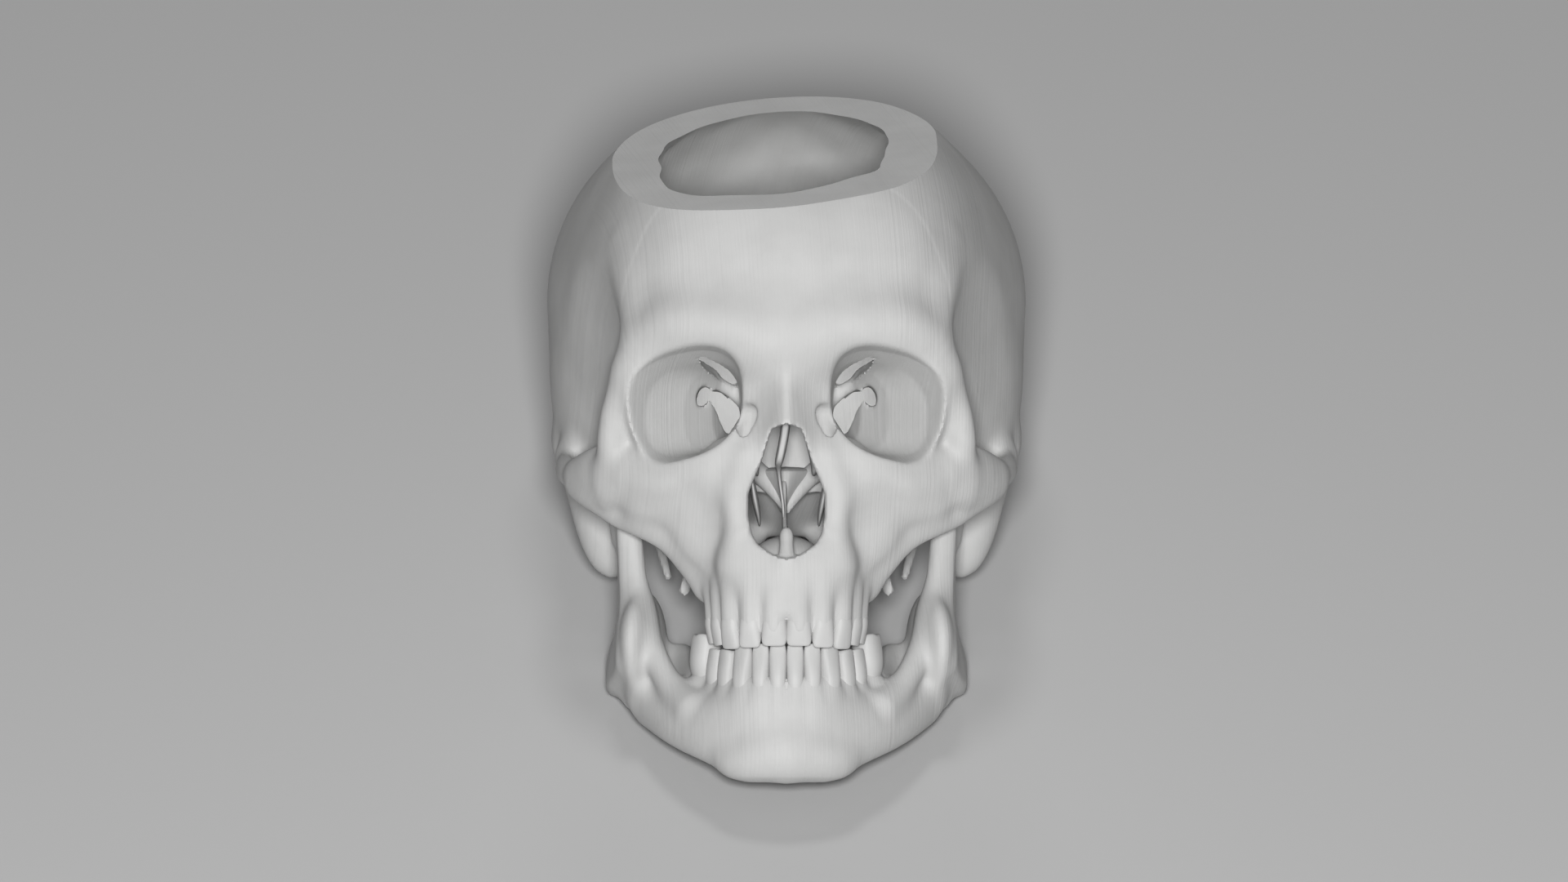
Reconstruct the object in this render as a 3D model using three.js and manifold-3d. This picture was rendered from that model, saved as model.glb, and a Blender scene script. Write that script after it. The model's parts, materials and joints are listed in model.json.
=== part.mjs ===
// A human skull with its lower jaw, opened across the crown, built as its separate bones and teeth.
// Millimetres. The skull is first laid out upright: +X to its left, -Y out of the face, +Z up, zero
// midway between the ear holes. At the end it leans back onto the angles of the jaw and the back of
// the head, as it lies on a table.
import * as THREE from 'three';
import { mergeVertices } from 'three/addons/utils/BufferGeometryUtils.js';
import Module from 'manifold-3d';

const wasm = await Module();
wasm.setup();

// Sizes, in millimetres
const across = 100;          // over the outer rims of both eye sockets
const along = 100;           // from the ear holes forward to the upper front teeth
const up = 100;              // from the ear holes down to the underside of the chin
const sutureGap = 0.3;       // between two bones that meet in a suture
const socketGap = 0.3;       // between a tooth and its socket
const jointGap = 0.5;        // between the head of the jaw and its hollow
const sideWall = 6.5;        // bone of the braincase at its sides and base
const crownWall = 11;        // bone of the braincase where the crown is cut
const foramenWide = 30;      // hole for the spinal cord, across
const foramenLong = 36;      // and along
const earBore = 7;           // ear hole
const headWide = 17;         // head of the lower jaw, across
const headThick = 8.8;       // and along
const ramusPlate = 5.8;      // thickness of the upright plate of the jaw
const ramusRound = 2;        // rounding of that plate's edges
const septumPlate = 2;       // thickness of the upright plates in the nose
const rollPlate = 1.6;       // thickness of the rolled bones in the nose
const toothGap = 0.3;        // between neighbouring teeth
// Crowns of the teeth, along the row of teeth and through it
const toothWide = { upperCentral: 7.2, upperLateral: 6.4, upperCanine: 6.4, upperPremolar: 6.6,
  lowerCentral: 4.8, lowerLateral: 4.9, lowerCanine: 6.1, lowerPremolar: 6.5, lowerMolar: 9.8 };
const toothDeep = { upperCentral: 6.6, upperLateral: 6.2, upperCanine: 7.2, upperPremolar: 7.6,
  lowerCentral: 5.6, lowerLateral: 5.8, lowerCanine: 7, lowerPremolar: 7.4, lowerMolar: 9.2 };

// Angles, in degrees
const lean = 33;
const crownPitch = 14.8;     // the cut across the crown falls toward the forehead
const crownRoll = 4.6;       // and toward the right-hand side

const bone = { color: 0xdadad8, roughness: 0.62, metalness: 0 };
const enamel = { color: 0xdcdcda, roughness: 0.5, metalness: 0 };

// Places are shares of across, along and up; a fourth share in a row is a radius.
const crownHeightShare = 0.982;
// Braincase: blended ovals as centre, half sizes and how softly each one blends.
const brainShares = [
  [0, 0.14, 0.42, 0.695, 0.81, 0.75, 0],
  [0, -0.41, 0.45, 0.51, 0.51, 0.53, 0.2],
  [0, -0.1, 0.56, 0.57, 0.5, 0.54, 0.16],
  [0, 0.5, 0.26, 0.52, 0.41, 0.46, 0.18],
  [0.34, 0.27, 0.52, 0.355, 0.4, 0.4, 0.14],
  [-0.34, 0.27, 0.52, 0.355, 0.4, 0.4, 0.14],
  [0.38, 0.08, 0.16, 0.3, 0.38, 0.34, 0.14],
  [-0.38, 0.08, 0.16, 0.3, 0.38, 0.34, 0.14],
  [0.27, -0.38, 0.5, 0.26, 0.41, 0.44, 0.16],
  [-0.27, -0.38, 0.5, 0.26, 0.41, 0.44, 0.16],
];
const undersideShares = { lowShare: -0.17, frontRiseShare: 0.1, frontFromShare: -0.05, runShare: 0.25,
  backRiseShare: 0.12, backFromShare: 0.62, lobeShare: 0.06, lobeAtShare: 0.48, lobeLongShare: 0.22,
  lobeWideShare: 0.38, softShare: 0.14 };
const floorShares = { frontShare: 0.275, frontRiseShare: 0.085, frontFromShare: 0.45, frontRunShare: 0.35,
  grooveShare: 0.03, grooveWideShare: 0.14, grooveRunShare: 0.06, edgeFallShare: 0.12, edgeFromShare: 0.42,
  edgeRunShare: 0.12, stepShare: -0.36, middleShare: 0.2, sideShare: -0.02, sideFromShare: 0.1,
  sideRunShare: 0.14, backShare: -0.09, ridgeShare: 0.14, ridgeFromShare: 0.12, ridgeRunShare: 0.1,
  ridgeThickShare: 0.07, ridgeAtShares: [0.2, 0.02], ridgeSlopeShare: 0.5, softShare: 0.08,
  crownFromShare: 0.4, crownRunShare: 0.5, stepSoftShare: 0.025, backSoftShare: 0.03 };
// Hollows of the temples, each side: oval, turn in degrees, softness.
const templeShares = { centreShares: [0.78, -0.6, 0.12], halfShares: [0.25, 0.3, 0.52], turn: -24,
  softShare: 0.12 };
const underTempleShares = { centreShares: [0.58, -0.5, -0.2], halfShares: [0.2, 0.26, 0.22], softShare: 0.08 };
// Face: ovals and bent bars, one side; the middle ones serve both sides.
const eyeWallShares = { centreShares: [0.265, -0.62, 0.16], halfShares: [0.2, 0.3, 0.2], turn: 20,
  softShare: 0.06 };
const faceOvalShares = [
  { centreShares: [0.18, -0.64, -0.1], halfShares: [0.2, 0.24, 0.26], softShare: 0.1 },
  { centreShares: [0, -0.62, 0.05], halfShares: [0.16, 0.3, 0.26], softShare: 0.08 },
  { centreShares: [0, -0.86, 0.35], halfShares: [0.13, 0.08, 0.08], softShare: 0.08 },
  { centreShares: [0, -0.86, -0.3], halfShares: [0.19, 0.07, 0.09], softShare: 0.08 },
  { centreShares: [0, 0.85, 0], halfShares: [0.06, 0.05, 0.04], softShare: 0.06 },
];
const browShares = [[0, -0.87, 0.4, 0.06], [0.09, -0.88, 0.385, 0.065], [0.2, -0.87, 0.405, 0.06],
  [0.32, -0.835, 0.405, 0.06], [0.42, -0.77, 0.36, 0.06], [0.485, -0.71, 0.27, 0.054]];
const templeLineShares = [[0.475, -0.71, 0.28, 0.046], [0.45, -0.69, 0.38, 0.046], [0.475, -0.61, 0.5, 0.05],
  [0.5, -0.5, 0.62, 0.045]];
const nasalWallShares = [[0.075, -0.92, 0.28, 0.036], [0.095, -0.915, 0.18, 0.032],
  [0.115, -0.9, 0.06, 0.032], [0.145, -0.88, -0.06, 0.036], [0.165, -0.86, -0.16, 0.042]];
const nasalRidgeShares = [[0, -0.91, 0.3, 0.04], [0, -0.94, 0.22, 0.036], [0, -0.99, 0.13, 0.03]];
const nasalFlankShares = [[0.036, -0.91, 0.28, 0.032], [0.044, -0.935, 0.2, 0.028], [0.06, -0.96, 0.11, 0.022]];
const upperArchShares = [[0, -0.885, -0.38, 0.06], [0.09, -0.875, -0.38, 0.06], [0.15, -0.82, -0.38, 0.056],
  [0.186, -0.74, -0.38, 0.054], [0.205, -0.6, -0.36, 0.052], [0.21, -0.46, -0.32, 0.05]];
const spineShares = [[0, -0.91, -0.28, 0.03], [0, -0.97, -0.245, 0.014]];
const mastoidShares = [[0.57, 0.13, 0.03, 0.105], [0.56, 0.12, -0.1, 0.095], [0.546, 0.105, -0.2, 0.082],
  [0.534, 0.1, -0.27, 0.062], [0.523, 0.095, -0.305, 0.04]];
const earCrestShares = [[0.61, 0.08, 0.06, 0.06], [0.62, 0.24, 0.08, 0.05], [0.59, 0.4, 0.04, 0.05]];
const basilarShares = [[0, -0.02, -0.14, 0.08], [0, -0.18, -0.06, 0.09], [0, -0.32, 0.02, 0.1]];
const cheekHollowShares = { centreShares: [0.29, -0.87, -0.2], halfShares: [0.09, 0.07, 0.1], softShare: 0.09 };
const softShares = { browShare: 0.14, templeLineShare: 0.16, nasalWallShare: 0.05, nasalRidgeShare: 0.04,
  archShare: 0.06, rootShare: 0.024, spineShare: 0.04, earCrestShare: 0.08, basilarShare: 0.06,
  jawBaseShare: 0.06, jawRimShare: 0.05 };
// Bars of the cheek, joined on: rims of the eye socket, border of the cheek bone and the arch.
const sideRimShares = [[0.49, -0.72, 0.27, 0.046], [0.51, -0.7, 0.12, 0.048], [0.525, -0.67, 0.02, 0.06],
  [0.55, -0.62, -0.06, 0.065]];
const lowerRimShares = [[0.51, -0.67, -0.03, 0.055], [0.42, -0.73, -0.05, 0.05], [0.33, -0.78, -0.055, 0.042],
  [0.24, -0.82, -0.02, 0.04], [0.17, -0.85, 0.04, 0.036], [0.128, -0.88, 0.13, 0.03]];
const cheekBorderShares = [[0.6, -0.54, -0.1, 0.045], [0.53, -0.6, -0.155, 0.045], [0.46, -0.64, -0.185, 0.045],
  [0.38, -0.66, -0.21, 0.045], [0.3, -0.66, -0.27, 0.045], [0.24, -0.65, -0.36, 0.04]];
const archShares = [[0.56, -0.58, -0.08, 0.06], [0.615, -0.47, -0.08, 0.054], [0.655, -0.34, -0.055, 0.048],
  [0.66, -0.2, -0.025, 0.044], [0.645, -0.08, 0.005, 0.046], [0.62, 0.04, 0.03, 0.04]];
const archRootShares = [[0.64, -0.08, 0.01, 0.04], [0.55, -0.1, 0.05, 0.05], [0.48, -0.12, 0.08, 0.06]];
const eminenceShares = [[0.44, -0.24, -0.04, 0.04], [0.58, -0.25, -0.04, 0.04]];
const cheekOvalShares = { centreShares: [0.48, -0.66, -0.09], halfShares: [0.125, 0.085, 0.12], turn: 30 };
const condyleShares = [[0.18, 0.14, -0.21, 0.045], [0.14, 0.02, -0.24, 0.05], [0.11, -0.06, -0.22, 0.04]];
const styloidShares = [[0.41, 0.05, -0.1, 0.035], [0.39, 0.01, -0.2, 0.02], [0.355, -0.04, -0.34, 0.011]];
const pterygoidShares = [[0.13, -0.34, -0.04, 0.04], [0.16, -0.36, -0.18, 0.032], [0.17, -0.35, -0.33, 0.022]];
const wingPlateShares = [[0.17, -0.36, -0.14, 0.034], [0.22, -0.36, -0.24, 0.026], [0.28, -0.35, -0.34, 0.018]];
const tuberShares = [[0.19, -0.44, -0.24, 0.04], [0.21, -0.42, -0.32, 0.036]];
// Bars pressed flatter or deeper: direction, and share of the round size that is left along it.
const pressShares = { archShares: [[0, 0, 1], 1.6], basilarShares: [[1, 0, 0], 1.6],
  cheekArchShares: [[1, 0.15, 0], 0.6], pterygoidShares: [[1, -0.4, 0], 0.5],
  wingPlateShares: [[0.5, 1, 0], 0.6], jawShares: [[0.5, -0.6, 0], 0.62], jawRimShares: [[0, 0, 1], 1.4] };
// Openings. The eye socket: place along, inner and outer wall, floor and roof.
const eyeSocketShares = [[-0.365, 0.143, 0.182, 0.106, 0.203], [-0.42, 0.14, 0.222, 0.083, 0.228],
  [-0.5, 0.134, 0.278, 0.061, 0.253], [-0.6, 0.132, 0.34, 0.041, 0.277], [-0.7, 0.132, 0.399, 0.025, 0.297],
  [-0.8, 0.132, 0.487, 0.01, 0.327], [-0.92, 0.132, 0.541, 0.01, 0.343], [-1.1, 0.132, 0.6, 0.01, 0.36]];
const eyeSlantShare = 0.14;
const fissureShares = [[0.17, -0.3, 0.13, 0.05], [0.185, -0.38, 0.15, 0.06], [0.24, -0.46, 0.205, 0.034]];
const upperFissureShares = [[0.24, -0.62, 0.32, 0.03], [0.2, -0.56, 0.31, 0.034], [0.165, -0.46, 0.28, 0.03]];
const floorFissureShares = [[0.24, -0.44, 0.08, 0.02], [0.33, -0.58, 0.01, 0.016]];
const opticShares = [[0.13, -0.32, 0.22, 0.022], [0.165, -0.44, 0.2, 0.022]];
const noseMouthShares = [[0, -0.255], [0.03, -0.275], [0.06, -0.272], [0.093, -0.24], [0.114, -0.18],
  [0.114, -0.08], [0.098, -0.03], [0.074, 0.017], [0.048, 0.066], [0.02, 0.12]];
const noseFloorShare = -0.28;
const noseCaveShares = [[0.12, noseFloorShare], [0.135, -0.1], [0.09, 0.08], [0.05, 0.2]];
const noseDepthShares = { frontShare: -1.2, lipShare: -0.8, caveFrontShare: -0.87, caveBackShare: -0.36 };
const backOpeningShares = [[0.11, -0.27], [0.11, -0.08]];
const backOpeningDepthShares = [-0.5, -0.2];
const palateShares = { centreShares: [0, -0.6, -0.42], halfShares: [0.145, 0.24, 0.09] };
const foramenAtShares = [0, 0.18, -0.2];
const foramenDeepShare = 0.22;
const earHoleShares = [[0.74, 0.01, 0], [0.52, -0.01, 0]];
const jawHeadAtShares = [0.51, -0.12, -0.055];
const headRoomShares = { centreShares: [0.51, -0.115, -0.095], halfShares: [0.115, 0.078, 0.075] };

// Sutures. Points of a seam, then far corners that close the region on one side of it.
const lambdoidSeamShares = [[0, 0.66], [0.2, 0.52], [0.38, 0.33], [0.5, 0.17], [0.56, 0.04]];
const lambdoidFarShares = [[1, 0.04], [1, -0.6]];
const lambdoidDepthShares = [0.44, 1.3];
const baseSeamShares = [[0.09, -0.25], [0.11, -0.08], [0.2, 0.05], [0.31, 0.11], [0.4, 0.22], [0.45, 0.36],
  [0.5, 0.46]];
const baseHeightShares = [-0.7, 0.05];
const squamousSeamShares = [[0.46, 0.04], [0.34, 0.08], [0.24, 0.1], [0.19, 0.22], [0.08, 0.36], [-0.08, 0.42],
  [-0.22, 0.38], [-0.31, 0.26], [-0.34, 0.1], [-0.37, 0], [-0.39, -0.06]];
const temporalFarShares = [[-0.36, -0.14], [-0.26, -0.15], [-0.25, -0.6], [0.46, -0.6]];
const temporalDepthShares = [0.1, 1];
const coronalSeamShares = [[-0.04, 1.3], [-0.1, 0.95], [-0.2, 0.68], [-0.36, 0.4]];
const frontalLowerSeamShares = [[-0.36, 0.4], [-0.5, 0.34], [-0.6, 0.27], [-0.68, 0.235], [-0.8, 0.235]];
const frontalFarShares = [[-0.88, 0.26], [-1.3, 0.28], [-1.3, 1.4]];
const parietalFarShares = [[-0.12, 1.4], [-0.36, 0.4], [-0.3, 0.3], [-0.1, 0], [-0.1, -0.4], [1.2, -0.4],
  [1.2, 1.4]];
const vaultDepthShares = [-1, 1];
const sphenoidSeamShares = [[0, -0.42], [0.14, -0.42], [0.2, -0.45], [0.3, -0.55], [0.38, -0.61], [0.47, -0.645],
  [0.5, -0.55], [0.56, -0.4], [0.58, -0.25], [0.6, 0.1]];
const sphenoidHeightShares = [-0.5, 0.5];
const cheekSeamShares = [[0.3, 0.05], [0.29, -0.03], [0.33, -0.1], [0.4, -0.17], [0.45, -0.3]];
const cheekFarShares = [[0.9, -0.6], [0.9, 0.5], [0.4, 0.5]];
const cheekDepthShares = [-1.2, -0.3];
const nasalSeamShares = [[-0.2, 0.4], [0.034, 0.4], [0.034, 0.26], [0.048, 0.18], [0.075, 0.06], [0.075, 0],
  [-0.2, 0]];
const nasalDepthShares = [-1.3, -0.86];
const lacrimalShares = [[0.08, -0.84, 0.03], [0.18, -0.765, 0.2]];
const ethmoidShares = [[-0.17, -0.76, 0.02], [0.17, -0.3, 0.4]];
const palatineShares = [[0, -0.54, -0.5], [0.19, -0.3, -0.2]];
const sideBoxShares = [3, 4, 4];

// Thin bones inside the nose, from below up: height, front and back, place to the side, share of the thickness.
const vomerShares = [[noseFloorShare, -0.76, -0.45, 0, 1.3], [-0.23, -0.73, -0.43, -0.002, 0.9],
  [-0.19, -0.68, -0.415, -0.006, 0.8], [-0.14, -0.56, -0.4, -0.006, 0.8], [-0.09, -0.49, -0.395, 0, 1],
  [-0.06, -0.46, -0.4, 0, 1.6]];
const uprightPlateShares = [[-0.17, -0.74, -0.71, -0.01, 0.5], [-0.12, -0.77, -0.61, -0.013, 0.5],
  [-0.06, -0.79, -0.53, -0.018, 0.6], [-0.01, -0.8, -0.5, -0.018, 0.7], [0.04, -0.81, -0.49, -0.012, 0.8],
  [0.1, -0.82, -0.5, -0.002, 1], [0.16, -0.78, -0.51, 0.002, 1], [0.22, -0.74, -0.52, 0, 1]];
const conchaShares = [[-0.195, -0.76, -0.56, 0.1, 0.7], [-0.17, -0.78, -0.54, 0.086, 0.8],
  [-0.13, -0.79, -0.53, 0.082, 1], [-0.09, -0.79, -0.53, 0.09, 1], [-0.05, -0.78, -0.53, 0.1115, 1],
  [-0.02, -0.77, -0.54, 0.1056, 0.8]];

// Teeth, one side, from the middle back along a line in the jaw: heights of the root's tip, the neck and the
// edge; share of the depth left at the edge, and how far the edge lies forward.
const upperRowShares = [[0, -0.922], [0.04, -0.918], [0.106, -0.895], [0.159, -0.85], [0.189, -0.786],
  [0.206, -0.718], [0.216, -0.6], [0.22, -0.4]];
const upperTeethShares = [
  { name: 'upper_central_incisor', size: 'upperCentral', riseShares: [-0.34, -0.455, -0.556], edgeShare: 0.25,
    tipShare: -0.018 },
  { name: 'upper_lateral_incisor', size: 'upperLateral', riseShares: [-0.34, -0.455, -0.559], edgeShare: 0.25,
    tipShare: -0.014 },
  { name: 'upper_canine', size: 'upperCanine', riseShares: [-0.33, -0.455, -0.564], edgeShare: 0.4, tipShare: -0.009 },
  { name: 'upper_first_premolar', size: 'upperPremolar', riseShares: [-0.34, -0.455, -0.553], edgeShare: 0.7,
    tipShare: 0 },
  { name: 'upper_second_premolar', size: 'upperPremolar', riseShares: [-0.34, -0.455, -0.549], edgeShare: 0.7,
    tipShare: 0 },
];
const lowerRowShares = [[0, -0.877], [0.026, -0.875], [0.076, -0.862], [0.127, -0.828], [0.169, -0.772],
  [0.2, -0.708], [0.245, -0.622], [0.28, -0.52], [0.31, -0.4]];
const lowerTeethShares = [
  { name: 'lower_central_incisor', size: 'lowerCentral', riseShares: [-0.78, -0.675, -0.549], edgeShare: 0.25,
    tipShare: 0 },
  { name: 'lower_lateral_incisor', size: 'lowerLateral', riseShares: [-0.78, -0.675, -0.549], edgeShare: 0.25,
    tipShare: 0 },
  { name: 'lower_canine', size: 'lowerCanine', riseShares: [-0.79, -0.675, -0.546], edgeShare: 0.4, tipShare: 0 },
  { name: 'lower_first_premolar', size: 'lowerPremolar', riseShares: [-0.77, -0.67, -0.562], edgeShare: 0.7,
    tipShare: 0 },
  { name: 'lower_second_premolar', size: 'lowerPremolar', riseShares: [-0.76, -0.66, -0.56], edgeShare: 0.7,
    tipShare: 0 },
  { name: 'lower_first_molar', size: 'lowerMolar', riseShares: [-0.73, -0.62, -0.505], edgeShare: 0.8, tipShare: 0 },
];
const rootBackShare = 0.035;
// Along a tooth: how far each section lies from the neck to the edge, and its shares of width and depth.
const toothSectionShares = [[-1, 0.5, 0.5], [0, 0.8, 0.95], [0.65, 1, 0.85], [1, 0.96, 0]];
// The ridge of bone over an upper root: how far in and back its top lies, and its radius in tooth widths.
const rootRidgeShares = { inShares: [0.93, 0.97], topShares: [-0.33, 0.27], endShares: [-0.464, 0.46] };

// Lower jaw: bars of its body and rim, chin ovals, plate outline (along, up).
const jawBodyShares = [[0, -0.85, -0.81, 0.085], [0.12, -0.835, -0.805, 0.085], [0.23, -0.77, -0.785, 0.08],
  [0.31, -0.66, -0.755, 0.078], [0.38, -0.52, -0.705, 0.08], [0.435, -0.36, -0.65, 0.08], [0.465, -0.22, -0.6, 0.07]];
const jawBaseShares = [[0, -0.84, -0.865, 0.07], [0.13, -0.82, -0.865, 0.06], [0.23, -0.75, -0.825, 0.05],
  [0.315, -0.63, -0.78, 0.05], [0.39, -0.46, -0.73, 0.05]];
const jawRimShares = [[0, -0.85, -0.715, 0.048], [0.09, -0.84, -0.715, 0.048], [0.15, -0.785, -0.715, 0.048],
  [0.19, -0.7, -0.705, 0.05], [0.234, -0.6, -0.675, 0.056], [0.27, -0.47, -0.65, 0.055], [0.31, -0.35, -0.61, 0.05]];
const chinOvalShares = [{ centreShares: [0, -0.87, -0.87], halfShares: [0.12, 0.06, 0.07], softShare: 0.06 },
  { centreShares: [0.125, -0.835, -0.885], halfShares: [0.065, 0.05, 0.046], softShare: 0.06 }];
const jawCheekShares = { centreShares: [0.42, -0.42, -0.57], halfShares: [0.05, 0.22, 0.13], turn: 12 };
const ramusShares = [[-0.46, -0.64], [-0.2, -0.71], [-0.11, -0.64], [-0.085, -0.52], [-0.1, -0.36], [-0.11, -0.22],
  [-0.08, -0.1], [-0.12, -0.06], [-0.18, -0.1], [-0.22, -0.19], [-0.29, -0.22], [-0.36, -0.18], [-0.42, -0.09],
  [-0.46, -0.16], [-0.45, -0.3], [-0.48, -0.46], [-0.54, -0.58]];
const ramusMidShares = { atShare: 0.476, outShare: 0.032, outFromShare: -0.45, outRunShare: 0.2, turnInShare: 0.025,
  turnFromShare: -0.3, turnRunShare: 0.2, turnTopShare: -0.2, turnFallShare: 0.4 };
const neckShares = [[0.485, -0.12, -0.22, 0.036], [0.505, -0.12, -0.1, 0.04]];
const ramusEdgeShares = [[0.465, -0.43, -0.12, 0.022], [0.45, -0.44, -0.3, 0.028], [0.425, -0.48, -0.46, 0.038],
  [0.385, -0.55, -0.58, 0.046], [0.34, -0.63, -0.67, 0.05]];
const angleShares = [[0.494, -0.14, -0.61, 0.036], [0.475, -0.22, -0.66, 0.038], [0.44, -0.34, -0.69, 0.04]];
const jawPathShares = [[-0.46, -0.2, -0.6], [-0.43, -0.36, -0.655], [-0.375, -0.52, -0.695], [-0.3, -0.65, -0.735],
  [-0.21, -0.755, -0.765], [-0.11, -0.825, -0.79], [0, -0.845, -0.8], [0.11, -0.825, -0.79],
  [0.21, -0.755, -0.765], [0.3, -0.65, -0.735], [0.375, -0.52, -0.695], [0.43, -0.36, -0.655], [0.46, -0.2, -0.6]];
const jawSectionShares = { steepShare: 1.6, reachShare: 0.4, stepShare: 0.01 };

// How finely forms are searched and cut into facets.
const searchShares = { farShare: 1.5, nearShare: 0.02, skipShare: 0.2 };
const skinCentreShares = [0, -0.2, 0.15];
const hollowCentreShares = [0, 0.05, 0.45];
const skinFacets = [36, 24];
const hollowFacets = [18, 12];
const jawFacets = [18, 8];
const socketSides = 10;
const toothSides = 8;
const plateSides = 8;
const ramusSteps = 17;

// Small helpers
const radians = THREE.MathUtils.degToRad;
const clamp = THREE.MathUtils.clamp;
const jaws = [['left', 1], ['right', -1]];
const mirrored = (rows) => rows.map(([x, ...rest]) => [-x, ...rest]);
const sided = (rows, side) => rows.map(([x, ...rest]) => [side * x, ...rest]);
const flip = (form) => ({ ...form, centreShares: mirrored([form.centreShares])[0], turn: -(form.turn ?? 0) });
const gapShare = (gap) => gap / along;

// Welds a geometry, scales it from shares to millimetres and makes a closed solid of it.
function solid(geometry) {
  geometry.deleteAttribute('normal');
  geometry.deleteAttribute('uv');
  const welded = mergeVertices(geometry.scale(across, along, up));
  const places = welded.attributes.position.array;
  const corners = welded.index.array;
  const faces = [];
  let volume = 0;
  const [a, b, c] = [new THREE.Vector3(), new THREE.Vector3(), new THREE.Vector3()];
  for (let i = 0; i < corners.length; i += 3) {
    const [p, q, r] = [corners[i], corners[i + 1], corners[i + 2]];
    if (p === q || q === r || r === p) continue;
    faces.push(p, q, r);
    volume += a.fromArray(places, 3 * p).dot(b.fromArray(places, 3 * q).cross(c.fromArray(places, 3 * r)));
  }
  if (volume < 0) faces.reverse();
  return new wasm.Manifold(new wasm.Mesh({
    numProp: 3, vertProperties: new Float32Array(places), triVerts: new Uint32Array(faces) }));
}

const joined = (geometries) => wasm.Manifold.union(geometries.map(solid));
const largest = (body) => body.decompose().reduce((a, b) => (b.volume() > a.volume() ? b : a));

// Moves every corner of a geometry by a function of its place.
function reshape(geometry, move) {
  const places = geometry.attributes.position;
  const p = new THREE.Vector3();
  for (let i = 0; i < places.count; i++) {
    p.fromBufferAttribute(places, i);
    move(p);
    places.setXYZ(i, p.x, p.y, p.z);
  }
  return geometry;
}

// Blended forms: each gives a distance that is negative inside.
const blend = (a, b, soft) => {
  const h = Math.max(soft - Math.abs(a - b), 0) / (soft || 1);
  return Math.min(a, b) - h * h * soft / 4;
};
const ramp = (v, from, run) => clamp((v - from) / run, 0, 1);

function oval({ centreShares: centre, halfShares: half, turn = 0 }) {
  const [cos, sin] = [Math.cos(radians(turn)), Math.sin(radians(turn))];
  return (x, y, z) => {
    const [dx, dy, dz] = [x - centre[0], y - centre[1], z - centre[2]];
    const q = [cos * dx + sin * dy, cos * dy - sin * dx, dz];
    const inner = Math.hypot(q[0] / half[0], q[1] / half[1], q[2] / half[2]);
    const outer = Math.hypot(q[0] / half[0] ** 2, q[1] / half[1] ** 2, q[2] / half[2] ** 2);
    return inner * (inner - 1) / Math.max(outer, Number.EPSILON);
  };
}

// The smooth line through a bar's points, with the radius at each step.
function barLine(rows) {
  const curve = new THREE.CatmullRomCurve3(rows.map((r) => new THREE.Vector3(...r)), false, 'catmullrom');
  return (t) => {
    const s = t * (rows.length - 1);
    const i = Math.min(Math.floor(s), rows.length - 2);
    return { place: curve.getPoint(t), radius: THREE.MathUtils.lerp(rows[i][3], rows[i + 1][3], s - i) };
  };
}

function barField(rows, press = null) {
  const line = barLine(rows);
  const ball = new THREE.Sphere().setFromPoints(rows.map((r) => new THREE.Vector3(...r)));
  const reach = ball.radius + 2 * Math.max(...rows.map((r) => r[3]));
  const count = (rows.length - 1) * 4;
  const grow = press ? 1 / press[1] - 1 : 0;
  const axis = press ? new THREE.Vector3(...press[0]).normalize() : new THREE.Vector3();
  const firm = press ? (1 + Math.min(1, press[1])) / 2 : 1;
  const knots = Array.from({ length: count + 1 }, (_, i) => {
    const { place, radius } = line(i / count);
    return { place: place.addScaledVector(axis, grow * place.dot(axis)), radius };
  });
  const p = new THREE.Vector3();
  return (x, y, z) => {
    p.set(x, y, z);
    const off = p.distanceTo(ball.center) - reach;
    if (off > searchShares.skipShare) return off;
    p.addScaledVector(axis, grow * p.dot(axis));
    let best = Infinity;
    for (let i = 0; i < count; i++) {
      const [a, b] = [knots[i], knots[i + 1]];
      const [ux, uy, uz] = [b.place.x - a.place.x, b.place.y - a.place.y, b.place.z - a.place.z];
      const [vx, vy, vz] = [p.x - a.place.x, p.y - a.place.y, p.z - a.place.z];
      const t = clamp((ux * vx + uy * vy + uz * vz) / (ux * ux + uy * uy + uz * uz), 0, 1);
      const away = Math.hypot(vx - t * ux, vy - t * uy, vz - t * uz);
      best = Math.min(best, away - a.radius - t * (b.radius - a.radius));
    }
    return best * firm;
  };
}

const otherPress = (press) => press && [mirrored([press[0]])[0], press[1]];
const bothSides = (rows, soft, press) =>
  [{ form: barField(rows, press), soft }, { form: barField(mirrored(rows), otherPress(press)), soft }];
const bothOvals = (form, options) => [{ form: oval(form), ...options }, { form: oval(flip(form)), ...options }];

// One form after another, joined or cut.
const firstOf = (steps) => (x, y, z) => {
  let d = Infinity;
  for (const { form, soft = 0, cut = false } of steps) {
    const e = form(x, y, z);
    if (d === Infinity) d = e;
    else d = cut ? -blend(-d, e, soft) : blend(d, e, soft);
  }
  return d;
};

// Splits each four-sided facet of a sphere along the shorter of its two diagonals.
function evenSplit(geometry) {
  const places = geometry.attributes.position;
  const corners = geometry.index.array;
  const corner = (i) => new THREE.Vector3().fromBufferAttribute(places, i);
  for (let i = 0; i + 5 < corners.length; i += 3) {
    const [a, b, d] = [corners[i], corners[i + 1], corners[i + 2]];
    const [e, c, f] = [corners[i + 3], corners[i + 4], corners[i + 5]];
    if (b !== e || d !== f) continue;
    if (corner(a).distanceTo(corner(c)) < corner(b).distanceTo(corner(d))) {
      corners.set([a, b, c, a, c, d], i);
    }
    i += 3;
  }
  return geometry;
}

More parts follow.
